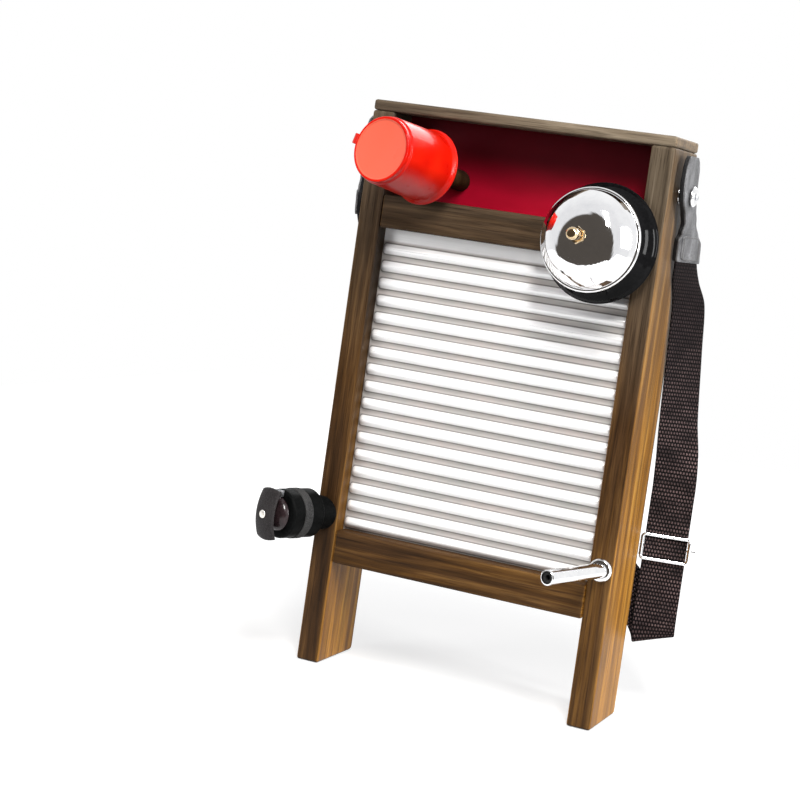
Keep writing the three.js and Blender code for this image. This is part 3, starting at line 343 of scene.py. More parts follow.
def metal(name, colour, tint, low, high, grain=(160, 160, 160), relief=0.05):
    """A plated or turned metal with faint smudges in its colour and gloss."""
    material, tree, inputs = finish(name, Metallic=1.0)
    smudge = noise(tree, places(tree, grain), 4, 0.55)
    share = ramp(tree, smudge, [(0.3, 0.0), (0.75, 1.0)])
    tree.links.new(mixed(tree, share, colour, tint), inputs["Base Color"])
    tree.links.new(ramp(tree, smudge, [(0.3, low), (0.75, high)]), inputs["Roughness"])
    tree.links.new(bump(tree, smudge, relief, 0.0002), inputs["Normal"])
    return material


def dark(name, colour, tint, low, high, grain, relief, depth, gloss):
    """A dark moulded, painted or rubbery surface with a fine grain."""
    material, tree, inputs = finish(name, Specular_IOR_Level=gloss)
    rough = noise(tree, places(tree, (grain, grain, grain)), 5, 0.6)
    broad = noise(tree, places(tree, (45, 45, 45)), 2, 0.5)
    shade = mixed(tree, ramp(tree, broad, [(0.3, 0.0), (0.7, 1.0)]), colour, tint)
    shade = mixed(tree, ramp(tree, rough, [(0.42, 0.0), (0.68, 0.6)]), shade, tuple(2.2 * c for c in tint))
    tree.links.new(shade, inputs["Base Color"])
    tree.links.new(ramp(tree, rough, [(0.3, low), (0.7, high)]), inputs["Roughness"])
    tree.links.new(bump(tree, rough, relief, depth), inputs["Normal"])
    return material


def hide(name, colour, tint):
    """Grained leather: raised cells between fine creases, lighter where it is rubbed."""
    material, tree, inputs = finish(name, Specular_IOR_Level=0.2)
    cells = node(tree, "ShaderNodeTexVoronoi", {"Vector": places(tree, (1100, 1100, 1100)), "Scale": 1.0},
                 feature="DISTANCE_TO_EDGE")
    rub = noise(tree, places(tree, (95, 95, 60)), 4, 0.6)
    shade = mixed(tree, ramp(tree, rub, [(0.38, 0.0), (0.70, 1.0)]), colour, tint)
    tree.links.new(mixed(tree, ramp(tree, cells, [(0.0, 0.65), (0.12, 0.0)]), shade, (0.006, 0.006, 0.007)),
                   inputs["Base Color"])
    tree.links.new(ramp(tree, rub, [(0.3, 0.34), (0.7, 0.52)]), inputs["Roughness"])
    tree.links.new(bump(tree, ramp(tree, cells, [(0.0, 0.0), (0.2, 1.0)]), 0.5, 0.00035), inputs["Normal"])
    return material


GLINTS_BELOW = (0.31, 0.20)


def woven():
    """Webbing: rows of weft floats half a float apart, painted brown glints on black that fade out towards
    the top, from the strap's own map.
    """
    material, tree, inputs = finish("woven", Specular_IOR_Level=0.08)
    across, along, _ = parts(tree, coordinate(tree, "UV"))
    row = maths(tree, "FLOOR", along)
    shifted = maths(tree, "ADD", across, times(tree, maths(tree, "MODULO", row, 2.0), 0.5))
    humps = [maths(tree, "SINE", times(tree, maths(tree, "FRACT", value), math.pi))
             for value in (shifted, along)]
    height = maths(tree, "POWER", times(tree, *humps), 0.6)
    fuzz = noise(tree, places(tree, (1500, 1500, 1500)), 3, 0.6)
    patch = noise(tree, places(tree, (60, 60, 110)), 4, 0.6)
    # Painted highlights: brown glints on the float tops, faint at the top of the strap and strongest low down
    painted_light = ranged(tree, parts(tree, coordinate(tree))[2], *GLINTS_BELOW, 0.12, 1.0)
    glint = times(tree, painted_light, ramp(tree, height, [(0.55, 0.0), (0.97, 1.0)]))
    glint = times(tree, glint, ramp(tree, fuzz, [(0.36, 0.15), (0.6, 1.0)]))
    glint = times(tree, glint, ramp(tree, patch, [(0.36, 0.25), (0.62, 1.0)]))
    shade = mixed(tree, ramp(tree, height, [(0.1, 0.0), (0.8, 1.0)]),
                  (0.0025, 0.0022, 0.0025), (0.012, 0.0085, 0.009))
    tree.links.new(mixed(tree, glint, shade, (0.200, 0.135, 0.132)), inputs["Base Color"])
    tree.links.new(ramp(tree, fuzz, [(0.3, 0.62), (0.7, 0.85)]), inputs["Roughness"])
    relief = maths(tree, "ADD", height, times(tree, fuzz, 0.25))
    tree.links.new(bump(tree, relief, 0.9, 0.0007), inputs["Normal"])
    return material


def thread(name, colour):
    """Twisted sewing thread."""
    material, tree, inputs = finish(name)
    twist = node(tree, "ShaderNodeTexWave", {"Vector": places(tree, (1200, 1200, 1200)), "Scale": 1.0,
                                             "Distortion": 1.5}, bands_direction="DIAGONAL")
    tree.links.new(mixed(tree, twist, colour, tuple(0.5 * c for c in colour)), inputs["Base Color"])
    tree.links.new(ramp(tree, twist, [(0.0, 0.6), (1.0, 0.8)]), inputs["Roughness"])
    tree.links.new(bump(tree, twist, 0.5, 0.0002), inputs["Normal"])
    return material


POST_WOOD = wood("post_wood", "Z", 0.45)
RAIL_WOOD = wood("rail_wood", "X", 0.12)
TOP_WOOD = wood("top_wood", "X", 1.0)
# The spacer behind the mug is the stained wood darkened with painted shade
SHADED_BLOCK_WOOD = wood("shaded_block_wood", "Z", 0.0, 0.25)
BARE_WOOD = bare_wood()
CRIMSON = crimson()
GALVANISED = galvanised()
ENAMEL = enamel("enamel", 0.0)
# Enamel with painted light, for the outside of the mug's bottom
ENAMEL_PAINTED_LIGHT = enamel("enamel_painted_light", 0.5)
CHROME = metal("chrome", (0.93, 0.93, 0.935), (0.84, 0.845, 0.86), 0.035, 0.09)
NICKEL = metal("nickel", (0.96, 0.93, 0.88), (0.86, 0.82, 0.76), 0.28, 0.40)
BRASS = metal("brass", (0.80, 0.64, 0.42), (0.60, 0.42, 0.22), 0.10, 0.22)
STEEL = metal("steel", (0.62, 0.63, 0.65), (0.48, 0.49, 0.51), 0.26, 0.42, (500, 500, 500), 0.15)
BLACK_GLOSS = dark("black_gloss", (0.002, 0.002, 0.0022), (0.003, 0.003, 0.0033), 0.05, 0.09,
                   380, 0.02, 0.0002, 0.07)
BARREL_BLACK = dark("barrel_black", (0.0022, 0.0024, 0.0024), (0.004, 0.0042, 0.0042), 0.30, 0.46,
                    900, 0.35, 0.0004, 0.025)
BAND_GREY = dark("band_grey", (0.022, 0.022, 0.023), (0.050, 0.049, 0.048), 0.62, 0.85,
                 1500, 0.9, 0.0008, 0.03)
DOME_DARK = dark("dome_dark", (0.009, 0.005, 0.006), (0.017, 0.010, 0.011), 0.14, 0.26,
                 420, 0.12, 0.0003, 0.35)
SHELL_GREY = dark("shell_grey", (0.012, 0.0105, 0.0108), (0.026, 0.0235, 0.024), 0.30, 0.46,
                  1300, 0.8, 0.0006, 0.08)
PAD_BLACK = dark("pad_black", (0.010, 0.010, 0.010), (0.016, 0.016, 0.016), 0.5, 0.7,
                 800, 0.3, 0.0004, 0.12)
LEATHER = hide("leather", (0.11, 0.111, 0.115), (0.29, 0.29, 0.30))
LEATHER_EDGE = hide("leather_edge", (0.005, 0.005, 0.0055), (0.010, 0.010, 0.011))
WOVEN = woven()
THREAD = thread("thread", (0.16, 0.155, 0.15))


# Pieces

SHARP = 35
TOUCHING = 1e-6


def facing(x, y, z, turn=0.0, lift=0.0):
    """A frame in millimetres whose +Z points out of the front of the board, turned left and lifted."""
    left, up = math.radians(turn), math.radians(lift)
    out = Vector((-math.sin(left) * math.cos(up), -math.cos(left) * math.cos(up), math.sin(up)))
    across = Vector((math.cos(left), -math.sin(left), 0))
    axes = Matrix((across, out.cross(across), out)).transposed().to_4x4()
    return BOARD @ Matrix.Translation((x, y, z)) @ axes


def mesh_piece(name, points, faces, place, material, body="frame", maps=None, sharp=SHARP):
    """Shows a mesh given in millimetres in a frame; maps are UV pairs for its points."""
    data = bpy.data.meshes.new(name)
    data.from_pydata([place @ Vector(p) for p in points], [], faces)
    data.update()
    if maps:
        layer = data.uv_layers.new(name="map")
        for loop in data.loops:
            layer.data[loop.index].uv = maps[loop.vertex_index]
    data.shade_smooth()
    data.set_sharp_from_angle(angle=math.radians(sharp))
    piece = bpy.data.objects.new(name, data)
    bpy.context.collection.objects.link(piece)
    data.materials.append(material)
    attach(piece, body)
    return piece


def softened(outline, radius, steps):
    """Rounds the corners of a profile by a radius, limited by their neighbours."""
    points = [Vector(p) for p in outline]
    closed = (points[0] - points[-1]).length < TOUCHING
    if closed:
        points.pop()
    made = []
    count = len(points)
    for i, corner in enumerate(points):
        if not closed and i in (0, count - 1):
            made.append(corner)
            continue
        before, after = points[i - 1] - corner, points[(i + 1) % count] - corner
        reach = min(radius, 0.45 * before.length, 0.45 * after.length)
        start, end = corner + before.normalized() * reach, corner + after.normalized() * reach
        for k in range(steps + 1):
            t = k / steps
            made.append((1 - t) ** 2 * start + 2 * t * (1 - t) * corner + t ** 2 * end)
    if closed:
        made.append(made[0].copy())
    return made


def turned(name, outline, place, material, radius, sides=128, body="frame", sharp=SHARP, steps=4):
    """A piece turned about the frame's Z from a profile that starts and ends on it or at one point."""
    profile = softened(outline, radius, steps)
    wrap = (profile[0] - profile[-1]).length < TOUCHING and profile[0].x > TOUCHING
    if wrap:
        profile.pop()
    points, rings = [], []
    for r, z in profile:
        if r < TOUCHING:
            rings.append([len(points)])
            points.append((0, 0, z))
            continue
        rings.append(list(range(len(points), len(points) + sides)))
        points.extend((r * math.cos(2 * math.pi * k / sides), r * math.sin(2 * math.pi * k / sides), z)
                      for k in range(sides))
    faces = []
    pairs = list(zip(rings, rings[1:])) + ([(rings[-1], rings[0])] if wrap else [])
    for low, high in pairs:
        for k in range(sides):
            n = (k + 1) % sides
            if len(low) == 1:
                faces.append((low[0], high[n], high[k]))
            elif len(high) == 1:
                faces.append((low[k], low[n], high[0]))
            else:
                faces.append((low[k], low[n], high[n], high[k]))
    return mesh_piece(name, points, faces, place, material, body, sharp=sharp)


def section(width, thickness, corner, steps, flats):
    """A rounded strip's section: (across, through) points in order round it, with more along its flats."""
    half_w, half_t = width / 2 - corner, thickness / 2 - corner
    made = []
    for sign_w, sign_t, start in ((1, -1, -90), (1, 1, 0), (-1, 1, 90), (-1, -1, 180)):
        for k in range(steps + 1):
            angle = math.radians(start + 90 * k / steps)
            made.append((sign_w * half_w + corner * math.cos(angle),
                         sign_t * half_t + corner * math.sin(angle)))
        if sign_w * sign_t > 0:
            edge = sign_w * half_w
            made.extend((edge - 2 * edge * (k + 1) / (flats + 1), sign_t * thickness / 2)
                        for k in range(flats))
    return made


def stacked(first, rings, sides):
    """The faces of a tube whose rings of points follow one another, with a cap at each end."""
    faces = []
    for ring in range(first, first + (rings - 1) * sides, sides):
        for k in range(sides):
            a, b = ring + k, ring + (k + 1) % sides
            faces.append((a, b, b + sides, a + sides))
    last = first + (rings - 1) * sides
    return [*faces, tuple(range(first, first + sides))[::-1], tuple(range(last, last + sides))]


WEAVE_ACROSS, WEAVE_ALONG = 2.3, 2.9


def strip(name, rings, place, material, sharp=50):
    """A strip through rings of (middle, across, through, section points); its map counts weave cells."""
    points, maps, travelled, last = [], [], 0.0, None
    for middle, across, through, shape in rings:
        travelled += (middle - last).length if last else 0.0
        last = middle
        for side, out in shape:
            points.append(middle + across * side + through * out)
            maps.append((side / WEAVE_ACROSS, travelled / WEAVE_ALONG))
    faces = stacked(0, len(rings), len(rings[0][3]))
    return mesh_piece(name, points, faces, place, material, maps=maps, sharp=sharp)


def wire(name, points, place, material, radius, body):
    """A closed ring of round wire through points in millimetres."""
    data = bpy.data.curves.new(name, "CURVE")
    data.dimensions = "3D"
    data.bevel_depth = radius * MM
    data.bevel_resolution = 5
    spline = data.splines.new("POLY")
    spline.points.add(len(points) - 1)
    for point, spot in zip(spline.points, points):
        point.co = (*(place @ Vector(spot)), 1)
    spline.use_cyclic_u = True
    spline.use_smooth = True
    data.materials.append(material)
    piece = bpy.data.objects.new(name, data)
    bpy.context.collection.objects.link(piece)
    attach(piece, body)
    return piece


def dress(material, *names):
    """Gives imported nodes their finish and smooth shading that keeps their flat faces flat."""
    for name in names:
        data = cad[name].data
        data.materials.clear()
        data.materials.append(material)
        data.shade_smooth()
        data.set_sharp_from_angle(angle=math.radians(SHARP))
        cad[name].modifiers.new("even", "WEIGHTED_NORMAL").keep_sharp = True


def instead(piece, slot, *names):
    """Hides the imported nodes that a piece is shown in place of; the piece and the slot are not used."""
    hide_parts(*names)


# Wooden frame, panel and fasteners

dress(POST_WOOD, "left_post", "right_post")
dress(RAIL_WOOD, "mid_rail", "bottom_rail")
dress(TOP_WOOD, "top_board")
dress(SHADED_BLOCK_WOOD, "mug_block")
dress(CRIMSON, "header_panel")
dress(BARE_WOOD, "dowel_upper_left", "dowel_upper_right", "dowel_lower_left", "dowel_lower_right")
dress(STEEL, "top_screw_front_left", "top_screw_front_right", "top_screw_back_left", "top_screw_back_right",
      "mug_boss", "mug_washer", "mug_bolt", "bell_pillar", "bell_hammer", "bell_bracket", "bell_hammer_pin",
      "bell_return_spring", "bell_washer", "bell_bolt", "tube_foot_plug", "tube_washer", "tube_bolt",
      "castanet_hinge_block", "castanet_hinge_pin", "castanet_spring", "castanet_washer", "castanet_bolt",
      "strap_screw_left", "strap_screw_right")
dress(CHROME, "striking_tube")
dress(PAD_BLACK, "bell_pad", "tube_end_plug")
dress(BRASS, "bell_dome_nut")


# Washboard plate

PLATE_HALF, PLATE_BOTTOM, PLATE_TOP = 104.7, 98.6, 339.7
PLATE_FRONT, SHEET = 14, 0.8
RIDGES, RIDGE_PITCH, RIDGE_WIDTH, RIDGE_LIFT = 17, 13.16, 10.4, 4.5
FIRST_RIDGE, GROOVE_MIDDLE = 103.6, 11.8
BELOW_RIDGES, ABOVE_RIDGES = 101.0, 332.0
RIDGE_END = 99.4
RIDGE_STEPS = 16
RIDGE_FULLNESS = 1.15


def ridged_plate():
    """The pressed sheet on a finer grid than the solid's, with the same ridges."""
    rows = [(PLATE_BOTTOM, 0.0), (BELOW_RIDGES, 0.0)]
    for i in range(RIDGES):
        start = FIRST_RIDGE + i * RIDGE_PITCH
        for k in range(RIDGE_STEPS + 1):
            lift = math.sin(math.pi * k / RIDGE_STEPS) ** RIDGE_FULLNESS
            rows.append((start + RIDGE_WIDTH * k / RIDGE_STEPS, lift))
        if i < RIDGES - 1:
            rows.append((start + GROOVE_MIDDLE, 0.0))
    rows.extend([(ABOVE_RIDGES, 0.0), (PLATE_TOP, 0.0)])
    slope = [(RIDGE_END + 2.0, 0.0), (RIDGE_END, 0.0), (RIDGE_END - 0.5, 0.30), (RIDGE_END - 1.2, 0.66),
             (RIDGE_END - 2.2, 0.90), (RIDGE_END - 3.6, 1.0)]
    inner = [(x, 1.0) for x in (80, 60, 40, 20, 0)]
    right = [(PLATE_HALF, 0.0), *slope, *inner]
    columns = [(-x, rise) for x, rise in right] + [(x, rise) for x, rise in reversed(right[:-1])]
    points = [(x, PLATE_FRONT - RIDGE_LIFT * lift * rise + back, z)
              for back in (0, SHEET) for z, lift in rows for x, rise in columns]
    wide, layer = len(columns), len(columns) * len(rows)
    faces = []
    for j in range(len(rows) - 1):
        for i in range(wide - 1):
            a = j * wide + i
            faces.append((a, a + 1, a + 1 + wide, a + wide))
            faces.append((a + layer, a + wide + layer, a + 1 + wide + layer, a + 1 + layer))
    piece = mesh_piece("pressed_plate", points, faces, BOARD, GALVANISED, sharp=70)
    instead(piece, "plate", "washboard_plate")


ridged_plate()


# Enamel mug

MUG = facing(-64.8, -9, 384, 14.5, 7.7)
MUG_BOTTOM, DISH_RADIUS = 55.3, 22.4
HANDLE_TURN = 12
HANDLE_WALL_LOW, HANDLE_WALL_HIGH = 26.49, 25.73
HANDLE_OUT = HANDLE_WALL_LOW + 13 - 0.8
HANDLE_LOW, HANDLE_MIDDLE, HANDLE_HIGH = 10.8, 28.8, 46.8
HANDLE_STEPS = 12


def mug():
    """The wall, rim and dished bottom, whose outside takes the enamel with painted light, paler than the
    wall.
    """
    dished = [(21.2 * k / 6, 55.6 + 1.2 * (k / 6) ** 2) for k in range(6, -1, -1)]
    body = [(0, 55.0), (22.7, 55.0), (24.2, 53.5), (25.4, 5.2), (26.6, 1.1), (27.7, 0.0), (28.8, 1.1),
            (27.7, 2.2), (26.4, 5.2), (25.2, 53.0), (24.2, 54.0), (24.2, 57.1), (23.7, 57.6), (22.2, 57.6),
            *dished]
    piece = turned("mug_shell", body, MUG, ENAMEL, 0.9, 160, sharp=60, steps=5)
    instead(piece, "enamel", "mug_body")
    # The outside of the dished bottom takes the enamel with painted light
    piece.data.materials.append(ENAMEL_PAINTED_LIGHT)
    inverse = MUG.inverted()
    for face in piece.data.polygons:
        spot = inverse @ face.center
        if spot.z > MUG_BOTTOM and math.hypot(spot.x, spot.y) < DISH_RADIUS:
            face.material_index = 1


def mug_handle():
    """The strap handle: two curves from the wall near the rim and the foot, meeting furthest out."""
    upper = ((HANDLE_WALL_HIGH, HANDLE_HIGH), (HANDLE_OUT, HANDLE_HIGH), (HANDLE_OUT, HANDLE_MIDDLE))
    lower = ((HANDLE_OUT, HANDLE_MIDDLE), (HANDLE_OUT, HANDLE_LOW), (HANDLE_WALL_LOW, HANDLE_LOW))
    path = []
    for start, control, end in (upper, lower):
        for k in range(1 if path else 0, HANDLE_STEPS + 1):
            t = k / HANDLE_STEPS
            path.append(tuple((1 - t) ** 3 * s + 3 * t * (1 - t) * c + t ** 3 * e
                              for s, c, e in zip(start, control, end)))
    rings = []
    across = Vector((0, 1, 0))
    for i, (r, z) in enumerate(path):
        before, after = path[max(i - 1, 0)], path[min(i + 1, len(path) - 1)]
        along = Vector((after[0] - before[0], 0, after[1] - before[1])).normalized()
        rings.append((Vector((r, 0, z)), across, across.cross(along), section(8, 1.6, 0.7, 4, 2)))
    turn = Matrix.Rotation(math.pi - math.radians(HANDLE_TURN), 4, "Z")
    instead(strip("mug_strap_handle", rings, MUG @ turn, ENAMEL, sharp=60), "enamel", "mug_handle")


mug()
mug_handle()


# Call bell

BELL = facing(75, -4.853, 347.5, 4.6, 4.7)
ROD_TOP = 51.6


def bell():
    base = [(43.0, 0.0), (44.0, 0.7), (43.0, 1.4), (41.58, 3.74), (37.4, 7.65), (34.32, 12.24),
            (32.78, 15.98), (31.0, 17.0), (5.3, 17.0), (5.3, 16.0), (30.0, 16.0), (31.78, 14.98),
            (33.32, 11.24), (36.4, 6.65), (40.58, 2.74), (42.0, 0.7), (43.0, 0.0)]
    instead(turned("bell_foot", base, BELL, BLACK_GLOSS, 3.0, 160, sharp=75, steps=6),
            "bell_black", "bell_base")
    flange = [(37.3, 20.0), (37.8, 20.8), (37.75, 22.2), (37.2, 23.0), (36.3, 23.3), (35.6, 22.9),
              (35.25, 23.6)]
    crown = [(34.7, 27.2), (33.9, 28.4), (33.3, 28.6), (32.9, 29.6), (29.6, 36.2), (22.68, 41.6),
             (13.6, 44.7), (6.43, 46.0), (3.9, 46.0)]
    inner = [(3.9, 45.0), (6.0, 44.9), (13.2, 43.6), (22.0, 40.8), (29.3, 36.0), (34.15, 29.7),
             (36.2, 22.8), (36.6, 20.6), (37.3, 20.0)]
    rounded = [tuple(p) for p in softened(flange, 0.5, 5)] + [tuple(p) for p in softened(crown, 5.0, 8)]
    instead(turned("bell_gong", rounded + inner, BELL, CHROME, 0.05, 192, sharp=75, steps=2),
            "chrome", "bell_dome")
    knob = [(0, 25.8), (2.2, 25.8), (2.2, ROD_TOP), (3.31, ROD_TOP), (4.6, ROD_TOP + 1.6),
            (4.6, ROD_TOP + 4.96), (3.68, ROD_TOP + 7.2), (0, ROD_TOP + 8.0)]
    instead(turned("bell_button", knob, BELL, BRASS, 1.3, 64, "plunger", sharp=75, steps=5),
            "brass", "bell_plunger")


bell()


# Castanet

CASTANET_TURN = 22
CASTANET = facing(-115.3, 0, 114, CASTANET_TURN)
SHELL_MIDDLE = 55.0
SHELL_SIDE, SHELL_UP, SHELL_THICKNESS = 9.5, 19.5, 2.5
SHELL_BOW, SHELL_ARCH = 4.2, 1.2
HINGE_UP, HINGE_PLACE = 15.6, 48.3
KNUCKLE_RADIUS, KNUCKLE_REACH = 2.2, 5.4
FOOT_RADIUS, FOOT_GAP, FOOT_SIDES = 13.0, 0.3, 96


def castanet():
    barrel = [(0, 11.3), (17.2, 11.3), (18.4, 12.5), (18.4, 23.0), (16.8, 23.0), (16.8, 31.3), (18.4, 31.3),
              (18.4, 40.8), (17.2, 42.0), (0, 42.0)]
    instead(turned("castanet_drum", barrel, CASTANET, BARREL_BLACK, 0.5),
            "castanet_matt", "castanet_barrel")
    ring = [(17.1, 23.3), (18.9, 23.3), (18.9, 31.0), (17.1, 31.0), (17.1, 23.3)]
    instead(turned("castanet_grip", ring, CASTANET, BAND_GREY, 0.8), "band", "castanet_band")
    dome = [(0, 42.3), (11.7, 42.3), (13.0, 43.22), (11.7, 46.15), (8.84, 48.38), (4.68, 49.69), (0, 50.0)]
    instead(turned("castanet_cap", dome, CASTANET, DOME_DARK, 2.5, 96, sharp=60, steps=6),
            "castanet_gloss", "castanet_dome")
    rivet = [(0, 54.15), (2.24, 54.15), (2.24, 54.7), (1.3, 54.7), (1.3, 57.8), (3.2, 57.8), (2.56, 58.63),
             (0, 58.9)]
    instead(turned("castanet_stud", rivet, CASTANET, NICKEL, 0.35, 48, "clapper"),
            "chrome", "castanet_rivet")


def crowded(steps):
    """Numbers from -1 to 1 that lie closer together towards both ends."""
    return [math.sin(math.pi * k / steps - math.pi / 2) for k in range(steps + 1)]


def shell():
    """The bowed outer shell with rounded rim and its two knuckles."""
    across, upward = crowded(20), crowded(36)
    points, faces = [], []
    for layer in (0, 1):
        for up in upward:
            for side in across:
                rim = min(1.0, 14 * (1 - abs(side)) + 0.12) * min(1.0, 24 * (1 - abs(up)) + 0.12)
                lift = SHELL_THICKNESS / 2 + (layer - 0.5) * SHELL_THICKNESS * math.sqrt(rim)
                points.append((side * SHELL_SIDE, up * SHELL_UP * (1 - 0.1 * side * side),
                               SHELL_MIDDLE - SHELL_BOW * up * up - SHELL_ARCH * side * side + lift))
    wide, layer = len(across), len(across) * len(upward)
    for j in range(len(upward) - 1):
        for i in range(wide - 1):
            a = j * wide + i
            faces.append((a, a + wide, a + 1 + wide, a + 1))
            faces.append((a + layer, a + 1 + layer, a + 1 + wide + layer, a + wide + layer))
    for i in range(wide - 1):
        top = layer - wide + i
        faces.append((i, i + 1, i + 1 + layer, i + layer))
        faces.append((top, top + layer, top + 1 + layer, top + 1))
    for left in range(0, layer - wide, wide):
        right = left + wide - 1
        faces.append((left, left + layer, left + wide + layer, left + wide))
        faces.append((right, right + wide, right + wide + layer, right + layer))
    for x0, x1 in ((3.8, 5.1), (-5.1, -3.8)):
        ring = [(KNUCKLE_RADIUS * math.cos(math.radians(a)), KNUCKLE_RADIUS * math.sin(math.radians(a)))
                for a in range(180, 361, 12)]
        ring += [(KNUCKLE_RADIUS, KNUCKLE_REACH), (-KNUCKLE_RADIUS, KNUCKLE_REACH)]
        first = len(points)
        for x in (x0, x1):
            points.extend((x, HINGE_UP + y, HINGE_PLACE + z) for y, z in ring)
        count = len(ring)
        faces.append(tuple(range(first, first + count)))
        faces.append(tuple(range(first + 2 * count - 1, first + count - 1, -1)))
        for k in range(count):
            a, b = first + k, first + (k + 1) % count
            faces.append((a, a + count, b + count, b))
    piece = mesh_piece("castanet_leaf", points, faces, CASTANET, SHELL_GREY, "clapper", sharp=60)
    instead(piece, "shell", "castanet_shell")


def wedge_foot():
    """The foot between post and barrel: its end lies on the board's plane, and it flares into the barrel."""
    turn = math.radians(CASTANET_TURN)
    flare = [(13.0, 7.6), (13.1, 8.3), (13.4, 9.1), (13.9, 9.9), (14.5, 10.6), (14.9, 11.0)]
    angles = [2 * math.pi * k / FOOT_SIDES for k in range(FOOT_SIDES)]
    points = [(FOOT_RADIUS * math.cos(a), FOOT_RADIUS * math.sin(a),
               (FOOT_GAP - FOOT_RADIUS * math.cos(a) * math.sin(turn)) / math.cos(turn)) for a in angles]
    points += [(r * math.cos(a), r * math.sin(a), z) for r, z in flare for a in angles]
    faces = stacked(0, len(flare) + 1, FOOT_SIDES)
    piece = mesh_piece("castanet_wedge", points, faces, CASTANET, BARREL_BLACK)
    instead(piece, "castanet_matt", "castanet_foot")


castanet()
wedge_foot()
shell()


# Striking tube's rosette and the strap buttons

ROSETTE = facing(109, -0.3, 116)
POST_FACE = 118
BUTTON_BACK, BUTTON_UP = 27, 389.5


def rosette():
    outline = [(2.5, 0), (8.6, 0), (8.6, 1.5), (7.4, 3.0), (2.5, 3.0), (2.5, 0)]
    instead(turned("tube_flange", outline, ROSETTE, CHROME, 0.5, 96), "chrome", "tube_rosette")


def button(name, side):
    place = (BOARD @ Matrix.Translation((side * POST_FACE, BUTTON_BACK, BUTTON_UP))
             @ Matrix.Rotation(side * math.pi / 2, 4, "Y"))
    outline = [(1.6, 0.3), (6.0, 0.3), (6.0, 1.7), (2.6, 1.7), (2.6, 10.1), (6.6, 10.1), (7.6, 11.1),
               (6.1, 13.1), (1.6, 13.1), (1.6, 0.3)]
    instead(turned(f"button_{name}", outline, place, CHROME, 0.8, 96), "chrome", f"strap_button_{name}")


rosette()
button("left", -1)
button("right", 1)


# Shoulder strap

WEBBING = 32
BOARD_HEIGHT, BOARD_DEPTH = 430, 64
TAB_TOP, TAB_LENGTH, TAB_STAND = 418, 76, 7
STRAP_SIDE = 119.5
REAR_REACH = 16.5
STRAIGHT_TURN = 15
FOLD_UP, FOLD_SIZE = 58.5, 10


def across_at(turn, tilt=0.0):
    """The strap's width direction: turned from the board's right towards its back, and tilted up."""
    back, up = math.radians(turn), math.radians(tilt)
    return Vector((math.cos(back) * math.cos(up), math.sin(back) * math.cos(up), math.sin(up)))


STRAIGHT = Vector((STRAP_SIDE, 70.5, 0)) + across_at(STRAIGHT_TURN) * (WEBBING / 2)


def tab_station(side, down, back, stand, turn):
    reach = (WEBBING / 2) * math.cos(math.radians(turn))
    middle = Vector((side * (POST_FACE + stand * TAB_STAND + reach), BUTTON_BACK + back * TAB_LENGTH,
                     TAB_TOP - down * TAB_LENGTH))
    return middle, across_at(side * turn)


def side_station(side, up, back, turn, tilt=0.0):
    across = across_at(side * turn, tilt)
    corner = Vector((side * STRAP_SIDE, back * BOARD_DEPTH, up * BOARD_HEIGHT))
    return corner + across * (side * WEBBING / 2), across


def straight_station(up):
    return Vector((STRAIGHT.x, STRAIGHT.y, up * BOARD_HEIGHT)), across_at(STRAIGHT_TURN)


def fold_station(up, back, left, tilt):
    middle = Vector((STRAIGHT.x - left * FOLD_SIZE, STRAIGHT.y + back * FOLD_SIZE, FOLD_UP + up * FOLD_SIZE))
    return middle, across_at(STRAIGHT_TURN * (1 - back), tilt)


def rear_station(out, up, back, turn, tilt):
    middle = Vector((out * POST_FACE, BOARD_DEPTH + back * REAR_REACH, up * BOARD_HEIGHT))
    return middle, across_at(turn, tilt)


# Each row holds the shares and degrees that the station function of its stretch takes, in order
RIGHT_TAB = [(0, -0.026, 1, 90), (0.375, 0, 1, 90), (0.605, 0.105, 0.9, 84), (0.816, 0.205, 0.6, 77),
             (1, 0.263, 0.5, 76)]
RIGHT_SIDE = [(0.763, 0.61, 67.5), (0.728, 0.74, 57), (0.642, 0.853, 52), (0.519, 0.97, 42), (0.46, 1.05, 26)]
STRAIGHTS = [0.408, 0.38, 0.242, 0.214]
FOLD = [(1.6, 0, 0, 0), (0.7, 0.1, 0, 5), (0, 0.5, 0.05, 18), (0.7, 0.92, 0.5, 30), (1.7, 1, 1.2, 37)]
REAR = [(0.93, 0.216, 1, 0, 44), (0.76, 0.256, 0.98, 0, 52), (0.42, 0.319, 0.94, 0, 58),
        (0.02, 0.384, 0.9, 0, 60), (-0.38, 0.447, 0.86, 0, 60), (-0.73, 0.505, 0.8, 0, 57),
        (-0.97, 0.551, 0.76, -4, 46)]
LEFT_SIDE = [(0.609, 1.12, 22, 26), (0.645, 0.98, 40, 0), (0.67, 0.74, 54, -20), (0.7035, 0.48, 66, -27),
             (0.75, 0.26, 76, -15)]
LEFT_TAB = [(1, -0.06, 0.5, 80), (0.816, -0.07, 0.6, 82), (0.605, -0.045, 0.9, 86), (0.375, 0, 1, 90),
            (0, 0.03, 1, 90)]
STATIONS = ([tab_station(1, *row) for row in RIGHT_TAB] + [side_station(1, *row) for row in RIGHT_SIDE]
            + [straight_station(up) for up in STRAIGHTS] + [fold_station(*row) for row in FOLD]
            + [rear_station(*row) for row in REAR] + [side_station(-1, *row) for row in LEFT_SIDE]
            + [tab_station(-1, *row) for row in LEFT_TAB])
LAST = len(STATIONS) - 1
TAB_STATIONS = 4


